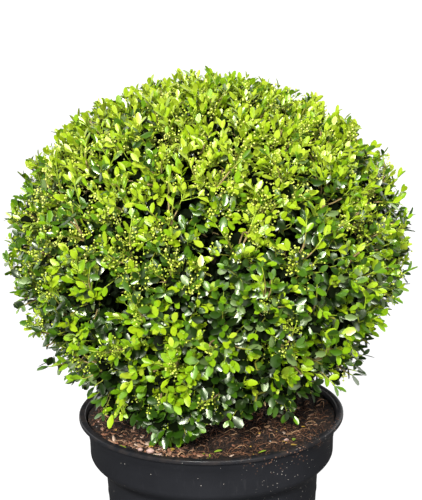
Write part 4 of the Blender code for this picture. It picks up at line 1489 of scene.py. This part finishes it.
def leaf_shape(stations, lift, arch, slant, breadth):
    """An oval leaf one unit long: lift raises its edges from the midrib, and arch bends its tip down."""
    bm = bmesh.new()
    rib, left, right = [], [], []
    for along, half_width in stations:
        middle = Vector((slant * along * along, along, -arch * along * along))
        side = Vector((half_width * breadth, 0.0, half_width * lift))
        rib.append(bm.verts.new(middle))
        if half_width:
            right.append(bm.verts.new(middle + side))
            left.append(bm.verts.new(middle + side * Vector((-1, 1, 1))))
    for edge, turn_round in ((right, False), (left, True)):
        faces = [[rib[at], edge[at], edge[at + 1], rib[at + 1]] for at in range(len(edge) - 1)]
        for corners in [*faces, [rib[-2], edge[-1], rib[-1]]]:
            bm.faces.new(reversed(corners) if turn_round else corners)
    mesh = bpy.data.meshes.new("leaf_shape")
    bm.to_mesh(mesh)
    bm.free()
    return mesh


def leaf_shapes():
    """Four domed old leaves, four folded young ones and two plainer ones for the shade."""
    rng = random.Random(SEED + 2)
    meshes = []
    for _ in OLD_SHAPES:
        lift = -math.tan(math.radians(rng.uniform(*OLD_DOMES)))
        arch = rng.uniform(*OLD_ARCHES)
        meshes.append(leaf_shape(OLD_LEAF, lift, arch, rng.uniform(-0.04, 0.04), 1.03))
    for _ in NEW_SHAPES:
        lift = math.tan(math.radians(rng.uniform(*NEW_FOLDS)))
        arch = rng.uniform(*NEW_ARCHES)
        meshes.append(leaf_shape(NEW_LEAF, lift, arch, rng.uniform(-0.06, 0.06), 0.92))
    meshes += [leaf_shape(SHADE_LEAF, -0.2, 0.1, 0.0, 1.1) for _ in SHADE_SHAPES]
    return shape_collection("leaf_shapes", meshes)


def bud_shapes():
    """A round bud of few faces, one unit long, with its stalk at the origin."""
    bm = bmesh.new()
    foot = bm.verts.new((0.0, 0.0, 0.0))
    tip = bm.verts.new((0.0, 1.0, 0.0))
    turns = [2 * math.pi * step / 5 for step in range(5)]
    ring = [bm.verts.new((0.5 * math.cos(turn), 0.52, 0.5 * math.sin(turn))) for turn in turns]
    for step in range(5):
        after = (step + 1) % 5
        bm.faces.new((ring[step], ring[after], tip))
        bm.faces.new((ring[after], ring[step], foot))
    return shape_collection("bud_shapes", [mesh_from(bm, "bud_shape")])


class Spray:
    """The character that all of one twig's leaves share."""

    def __init__(self, tip, rng, young=None):
        height = height_share(tip)
        self.young = rng.random() < read_off(YOUNG_SHARES, height)
        if young is not None:
            self.young = young
        self.old_tint = by_height(OLD_TINT, height) + rng.gauss(0.0, OLD_TWIG_SPREAD)
        self.painted_shade = by_height(PAINTED_SHADE_AT_FOOT, height)
        self.painted_sheen_share = by_height(PAINTED_SHEEN_SHARE, height)
        self.scale = by_height(LEAF_SCALE, height)
        self.new_tint = by_height(NEW_TINT, height) + rng.gauss(0.0, NEW_TWIG_SPREAD)
        self.turning = by_height((rng.uniform(0.52, 0.80), rng.uniform(0.30, 0.64), 0.50, 0.80), height)
        patch = noise.noise(tip * FLOWER_PATCHES)
        self.flowers = patch + rng.uniform(-0.25, 0.25) > by_height(FLOWERLESS, height)
        self.low = False
        self.ripeness = by_height((rng.uniform(-0.1, 1.2), rng.uniform(0.7, 2.1), 0.3, 0.8), height)
        self.breadth = by_height(LEAF_BREADTH, height)

    def is_new(self, along):
        return self.young and along > self.turning

    def tint(self, along, rng):
        if self.is_new(along):
            return self.new_tint + rng.gauss(0.0, NEW_LEAF_SPREAD)
        # painted shade: old leaves darker towards the twig's foot deep in the crown, lighter at its tip
        return self.old_tint + between(self.painted_shade, PAINTED_LIGHT_AT_TIP, along) + rng.gauss(0.0, OLD_LEAF_SPREAD)


def line_length(route):
    return sum((after - before).length for before, after in zip(route, route[1:]))


def walk(route, first, last, spacing, rng):
    """Places along a line at about even distances: each as (point, way, share of the line's length)."""
    total = line_length(route)
    wanted = total * first
    passed = 0.0
    for before, after in zip(route, route[1:]):
        step = (after - before).length
        way = (after - before) / step
        while passed + step >= wanted and wanted <= total * last:
            yield before + way * (wanted - passed), way, wanted / total
            wanted += spacing * rng.uniform(1.0 - NODE_UNEVENNESS, 1.0 + NODE_UNEVENNESS)
        passed += step


def leaf_face(node, along, way):
    """Where a leaf's upper side looks: the light, the outside and, on a rising twig, its tip."""
    outward = (node - CROWN_CENTRE).normalized()
    lift = by_height(LEAF_LIFT, height_share(node))
    face = along * 0.40 * smooth_step(along.z, -0.7, 0.3) + outward * 0.48 + UP * lift
    return (face - way * face.dot(way)).normalized()


def dress(crown, route, spray, first, scale, rng):
    """Leaves and flower buds up a twig, each a golden turn on from the last, and a tuft at its tip."""
    turn = rng.uniform(0.0, 2 * math.pi)
    spacing = (NEW_SPACING if spray.young else NODE_SPACING) * scale
    for node, along, share in walk(route, first, LAST_NODE, spacing, rng):
        turn += GOLDEN_ANGLE + rng.uniform(-NODE_UNEVENNESS, NODE_UNEVENNESS)
        outward = square_to(along, turn)
        is_new = spray.is_new(share)
        splay = math.radians(rng.uniform(*(NEW_SPLAY if is_new else OLD_SPLAY)))
        way = (along * math.cos(splay) + outward * math.sin(splay) + UP * LEAF_RISE).normalized()
        face = swayed(leaf_face(node, along, way), LEAF_TOSS, rng)
        length = LEAF_LENGTH * scale * spray.scale * rng.uniform(*LEAF_SIZES)
        length = length * between(1.0, LAST_LEAF_SCALE, share**3)
        shapes = NEW_SHAPES if is_new else OLD_SHAPES
        blooms = spray.flowers and share_of_outline(node) > BLOOM_FROM
        if is_new or not blooms or rng.random() > BARE_NODES:
            tint = spray.tint(share, rng)
            # painted sheen: some old leaves take a pale grey-green in place of a reflection
            if not is_new and rng.random() < spray.painted_sheen_share:
                tint = PAINTED_SHEEN_LEAF
            crown.add_leaf(node, way, face, length, shapes, tint, spray.breadth)
        if blooms and rng.random() < FLOWERING_NODES * (FLOWERING_IF_NEW if is_new else FLOWERING_IF_OLD):
            crown.add_buds(node, along, outward, spray.ripeness)
    end = route[-1]
    along = (route[-1] - route[-2]).normalized()
    for _ in range(TIP_LEAVES):
        turn += GOLDEN_ANGLE
        way = (along + square_to(along, turn) * rng.uniform(*TIP_LEAF_SPREAD)).normalized()
        face = swayed(leaf_face(end, along, way), TIP_LEAF_TOSS, rng)
        length = LEAF_LENGTH * scale * spray.scale * rng.uniform(*TIP_LEAF_SIZES)
        tint = spray.tint(1.0, rng) + TIP_LEAF_BRIGHTER
        crown.add_leaf(end, way, face, length, NEW_SHAPES, tint, spray.breadth)


def dress_painted_shade(crown, route, first, last, rng):
    """The old leaves deep in the crown, painted near-black as shade, which close its inside."""
    for node, along, _ in walk(route, first, last, SHADE_SPACING, rng):
        outward = swayed(along.orthogonal().normalized(), 1.0, rng)
        way = (outward + along * 0.5).normalized()
        face = swayed((node - CROWN_CENTRE).normalized(), 0.8, rng)
        length = SHADE_LEAF_LENGTH * rng.uniform(*SHADE_LEAF_SIZES)
        # tint 0: the near-black leaf of painted shade
        crown.add_leaf(node, way, face, length, SHADE_SHAPES, 0)


def wood_tint(share, young):
    """Green at a shoot's tip, then olive, tan and brown towards its root."""
    age = (1.0 - share) * 3.3 - (0.6 if young else -0.2)
    return min(3.0, max(0.0, age))


def has_room(point, low):
    """Whether a sprig may end at a point: inside the outline, or low down in the container's mouth."""
    if low:
        return math.hypot(point.x, point.y) < MOUTH_RADIUS and point.z > SOIL_LEVEL + 2 * SOIL_AIR
    return share_of_outline(point) < CLIPPED_SHARE and point.z > POT_HEIGHT + RIM_AIR


def grow_twig(crown, start, first_way, tip, last_way, spray, rng):
    """A twig with its leaves, and side sprigs with theirs."""
    route = bent_route(start, first_way, tip, last_way, 8, rng, 0.0009)
    crown.add_wood(
        "twigs",
        route,
        lambda share: TWIG_RADIUS * between(*TWIG_TAPER, share),
        lambda share: wood_tint(share, spray.young),
    )
    bare = 1.0 - min(LEAFIEST, LEAFY_LENGTH / line_length(route))
    dress(crown, route, spray, bare, 1.0, rng)
    # leaves of painted shade on the twig's bare part
    dress_painted_shade(crown, route, 0.08, bare, rng)
    last = len(route) - 1
    lowest = max(0.2, bare - 0.1)
    for fork_share in sorted(rng.uniform(lowest, 0.80) for _ in range(rng.randint(*SPRIGS))):
        index = min(last - 1, int(fork_share * last))
        fork = between(route[index], route[index + 1], fork_share * last - index)
        along = (route[index + 1] - route[index]).normalized()
        aside = square_to(along, rng.uniform(0, 2 * math.pi))
        way = (along * rng.uniform(0.6, 1.3) + aside + UP * 0.15).normalized()
        end = fork + way * rng.uniform(*SPRIG_LENGTHS)
        if not has_room(end, spray.low):
            continue
        sprig_route = bent_route(fork, way, end, (way + along * 0.5).normalized(), 4, rng, 0.0004)
        crown.add_wood(
            "sprigs",
            sprig_route,
            lambda share: SPRIG_RADIUS * between(*SPRIG_TAPER, share),
            lambda share: wood_tint(between(fork_share, 1.0, share), spray.young),
        )
        dress(crown, sprig_route, spray, 0.22, 0.92, rng)


def dress_branch(crown, branch, spray, bare, shade_to, scale, rng):
    """A branch in bark, with its outer leaves from bare to its tip and leaves painted near-black as shade
    below.
    """
    dress(crown, branch.route, spray, bare, scale, rng)
    dress_painted_shade(crown, branch.route, BRANCH_PAINTED_SHADE[0], shade_to, rng)
    thick = min(BRANCH_THICKEST, BRANCH_TIP_RADIUS * branch.load**BRANCH_THICKENING)
    crown.add_wood(
        "branches",
        branch.route,
        lambda share: between(thick, BRANCH_TIP_RADIUS * 0.8, share**0.8),
        lambda share: between(3.0, 0.6, share**2),
    )


def dress_low_spray(crown, branch, number, rng):
    """A branch that hangs low at the front, with side twigs. Only the first carries young growth."""
    route = branch.route
    spray = Spray(route[-1], rng, young=number == 0)
    spray.low = True
    spray.flowers = number % 3 == 0
    spray.turning = LOW_TURNING
    spray.old_tint = rng.uniform(*LOW_TINTS)
    spray.painted_sheen_share = LOW_PAINTED_SHEEN_SHARE
    dress_branch(crown, branch, spray, LOW_BARE, LOW_BARE, LOW_LEAF_SCALE, rng)
    for share in LOW_TWIG_PLACES:
        index = int(share * (len(route) - 1))
        along = (route[index + 1] - route[index]).normalized()
        aside = along.cross(UP).normalized() * rng.choice((-1, 1))
        way = (along + aside * rng.uniform(0.5, 1.0) + UP * 0.2).normalized()
        end = route[index] + way * rng.uniform(*LOW_TWIG_LENGTHS)
        grow_twig(crown, route[index], way, end, way, spray, rng)


def grow_outer_twigs(crown, wood, rng):
    """The twigs of the clipped surface, some of which have outgrown the last clipping."""
    for way in scattered_ways(TWIGS, 0.035, rng):
        out = turned_up(way, rng)
        reach = rng.uniform(*TWIG_SHARES)
        if rng.random() < ESCAPES:
            reach = rng.uniform(*ESCAPE_SHARES)
        tip = in_crown(out, fullness(out), reach - LEAF_STAND)
        start, first_way, _ = wood.start_for(tip, (way + UP * 0.4).normalized(), *TWIG_REACH)
        last_way = swayed(out + UP * 0.55, 0.25, rng)
        grow_twig(crown, start, first_way, tip, last_way, Spray(tip, rng), rng)


def short_route(wood, way, tip, outward, reach, toss, points, rng):
    """The line of a short shoot from the nearest wood to its tip."""
    start, first_way, _ = wood.start_for(tip, outward, *reach)
    return bent_route(start, first_way, tip, swayed(way, toss, rng), points, rng, 0.0005)


def grow_cut_stubs(crown, wood, rng):
    """Short woody ends at the surface, where the shears have gone through older shoots."""
    for way in scattered_ways(CUT_STUBS, 0.10, rng):
        tip = in_crown(way, rng.uniform(*CUT_STUB_SHARES))
        thick = rng.uniform(*CUT_STUB_RADII)
        tint = rng.choice(CUT_STUB_TINTS)
        route = short_route(wood, way, tip, (way + UP).normalized(), CUT_STUB_REACH, 0.5, 5, rng)
        crown.add_wood("twigs", route, lambda share: thick, lambda share: tint)


def grow_flowering_shoots(crown, wood, rng):
    """Shoots that rise along the surface: bare stems with buds at their nodes, and leaves at their tips."""
    for way in scattered_ways(FLOWERING_SHOOTS, 0.10, rng):
        tip = in_crown(way, fullness(way), rng.uniform(*FLOWERING_SHARES))
        start, _, _ = wood.start_for(tip, swayed(UP + way * 0.5, 0.6, rng), *FLOWERING_REACH)
        bow = CROWN_CENTRE + (between(start, tip, 0.5) - CROWN_CENTRE) * FLOWERING_BOW
        route = [start, *interpolate_bezier(start, bow, bow, tip, 8)[1:-1], tip]
        thick = rng.uniform(*FLOWERING_RADII)
        spray = Spray(tip, rng)
        crown.add_wood(
            "twigs",
            route,
            lambda share: thick * between(*FLOWERING_TAPER, share),
            lambda share: min(2.0, wood_tint(share, spray.young)),
        )
        dress(crown, route, spray, rng.uniform(*FLOWERING_BARE), 1.0, rng)
        if spray.flowers:
            for node, along, _ in walk(route, *FLOWERING_STEM, BUD_SPACING, rng):
                crown.add_buds(node, along, along.orthogonal().normalized(), spray.ripeness)


def grow_second_twigs(crown, wood, rng):
    """Short twigs behind the outer ones, with dark old leaves, many of them painted near-black as shade, that
    close the gaps between them.
    """
    for way in scattered_ways(SECOND_TWIGS, 0.08, rng):
        tip = in_crown(way, rng.uniform(*SECOND_SHARES))
        route = short_route(wood, way, tip, way, SECOND_REACH, 0.5, 5, rng)
        crown.add_wood("twigs", route, lambda share: SPRIG_RADIUS * 1.2, lambda share: 2)
        spray = Spray(tip, rng, young=False)
        # mostly the near-black leaf of painted shade
        spray.old_tint = rng.uniform(*SECOND_TINTS_TO_PAINTED_SHADE)
        spray.painted_sheen_share *= SECOND_PAINTED_SHEEN
        spray.flowers = False
        dress(crown, route, spray, 0.25, 1.05, rng)


def grow_inner_twigs(crown, wood, rng):
    """Short twigs deep in the crown that carry their oldest leaves, painted near-black as shade."""
    for way in scattered_ways(INNER_TWIGS, 0.08, rng):
        tip = in_crown(way, rng.uniform(*INNER_SHARES))
        route = short_route(wood, way, tip, way, INNER_REACH, 0.6, 4, rng)
        crown.add_wood("twigs", route, lambda share: SPRIG_RADIUS, lambda share: 3)
        dress_painted_shade(crown, route, 0.25, 1.0, rng)


def grow_crown():
    """The branches first, then each kind of finer growth on them."""
    rng = random.Random(SEED)
    crown = Crown(rng)
    branches = grow_branches(rng)
    wood = Wood()
    for branch in branches:
        wood.add(branch, 0.30)
    grow_outer_twigs(crown, wood, rng)
    for branch in branches[:BRANCHES]:
        dress_branch(crown, branch, Spray(branch.route[-1], rng), BRANCH_BARE, BRANCH_PAINTED_SHADE[1], 1.0, rng)
    for number, branch in enumerate(branches[BRANCHES:]):
        dress_low_spray(crown, branch, number, rng)
    grow_cut_stubs(crown, wood, rng)
    grow_flowering_shoots(crown, wood, rng)
    grow_second_twigs(crown, wood, rng)
    grow_inner_twigs(crown, wood, rng)
    return crown


def make_crown():
    crown = grow_crown()
    leaf_palette = [waxy(*finish) for finish in LEAF_PALETTE]
    wood_palette = [plain(*finish) for finish in WOOD_PALETTE]
    bud_palette = [plain(*finish) for finish in BUD_PALETTE]
    shapes = leaf_shapes()
    pieces = []
    for number, leaves in enumerate(crown.leaves, 1):
        pieces.append(set_out(f"leaves_{number}", leaves, shapes, leaf_palette))
    for kind, lines in crown.wood.items():
        pieces.append(rods(kind, lines, wood_palette, WOOD_SIDES[kind]))
    pieces.append(set_out("flower_buds", crown.buds, bud_shapes(), bud_palette))
    for piece in pieces:
        finish_piece(piece, "foliage", "crown")


# Stage


def make_stage():
    floor_finish = Finish("pale_floor", base_color=(0.12, 0.12, 0.12), roughness=0.9)
    floor_seen = floor_finish.node("ShaderNodeLightPath", output="Is Camera Ray")
    floor_finish.set("Emission Color", floor_finish.mix(floor_seen, (0.0, 0.0, 0.0), (1.0, 1.0, 1.0)))
    floor_finish.set("Emission Strength", FLOOR_GLOW)
    bm = bmesh.new()
    bmesh.ops.create_circle(bm, cap_ends=True, segments=64, radius=FLOOR_RADIUS)
    floor = place("floor", mesh_from(bm, "floor"), floor_finish.material)
    world = bpy.data.worlds.new("studio")
    bpy.context.scene.world = world
    world.use_nodes = True
    studio = Nodes(world.node_tree)
    seen = studio.node("ShaderNodeLightPath", output="Is Camera Ray")
    back = world.node_tree.nodes["Background"]
    back.inputs["Color"].default_value = (1.0, 1.0, 1.0, 1.0)
    studio.feed(back.inputs["Strength"], seen * (1.0 - SKY) + SKY)


def make_light(name, way, strength, spread_degrees, colour):
    """A soft light from a direction, as even over the floor as over the plant."""
    lamp = bpy.data.lights.new(name, "SUN")
    lamp.energy = strength
    lamp.angle = math.radians(spread_degrees)
    lamp.color = colour
    item = bpy.data.objects.new(name, lamp)
    item.rotation_euler = Vector(way).to_track_quat("Z", "Y").to_euler()
    bpy.context.scene.collection.objects.link(item)


def make_camera():
    level = math.cos(CAMERA_ELEVATION)
    back = Vector((0.0, -level, math.sin(CAMERA_ELEVATION)))
    lens = bpy.data.cameras.new("camera")
    lens.lens = CAMERA_LENS
    lens.sensor_width = 36.0
    camera = bpy.data.objects.new("camera", lens)
    camera.rotation_mode = "QUATERNION"
    camera.location = CAMERA_TARGET + back * CAMERA_DISTANCE
    aim = (-back).to_track_quat("-Z", "Y").to_matrix()
    camera.rotation_quaternion = (aim @ Matrix.Rotation(CAMERA_ROLL, 3, "Z")).to_quaternion()
    bpy.context.scene.collection.objects.link(camera)
    bpy.context.scene.camera = camera


make_camera()
make_stage()
for light in LIGHTS:
    make_light(*light)
make_pot()
make_soil()
make_litter()
make_limbs()
make_crown()
bpy.context.scene.view_settings.view_transform = "Standard"
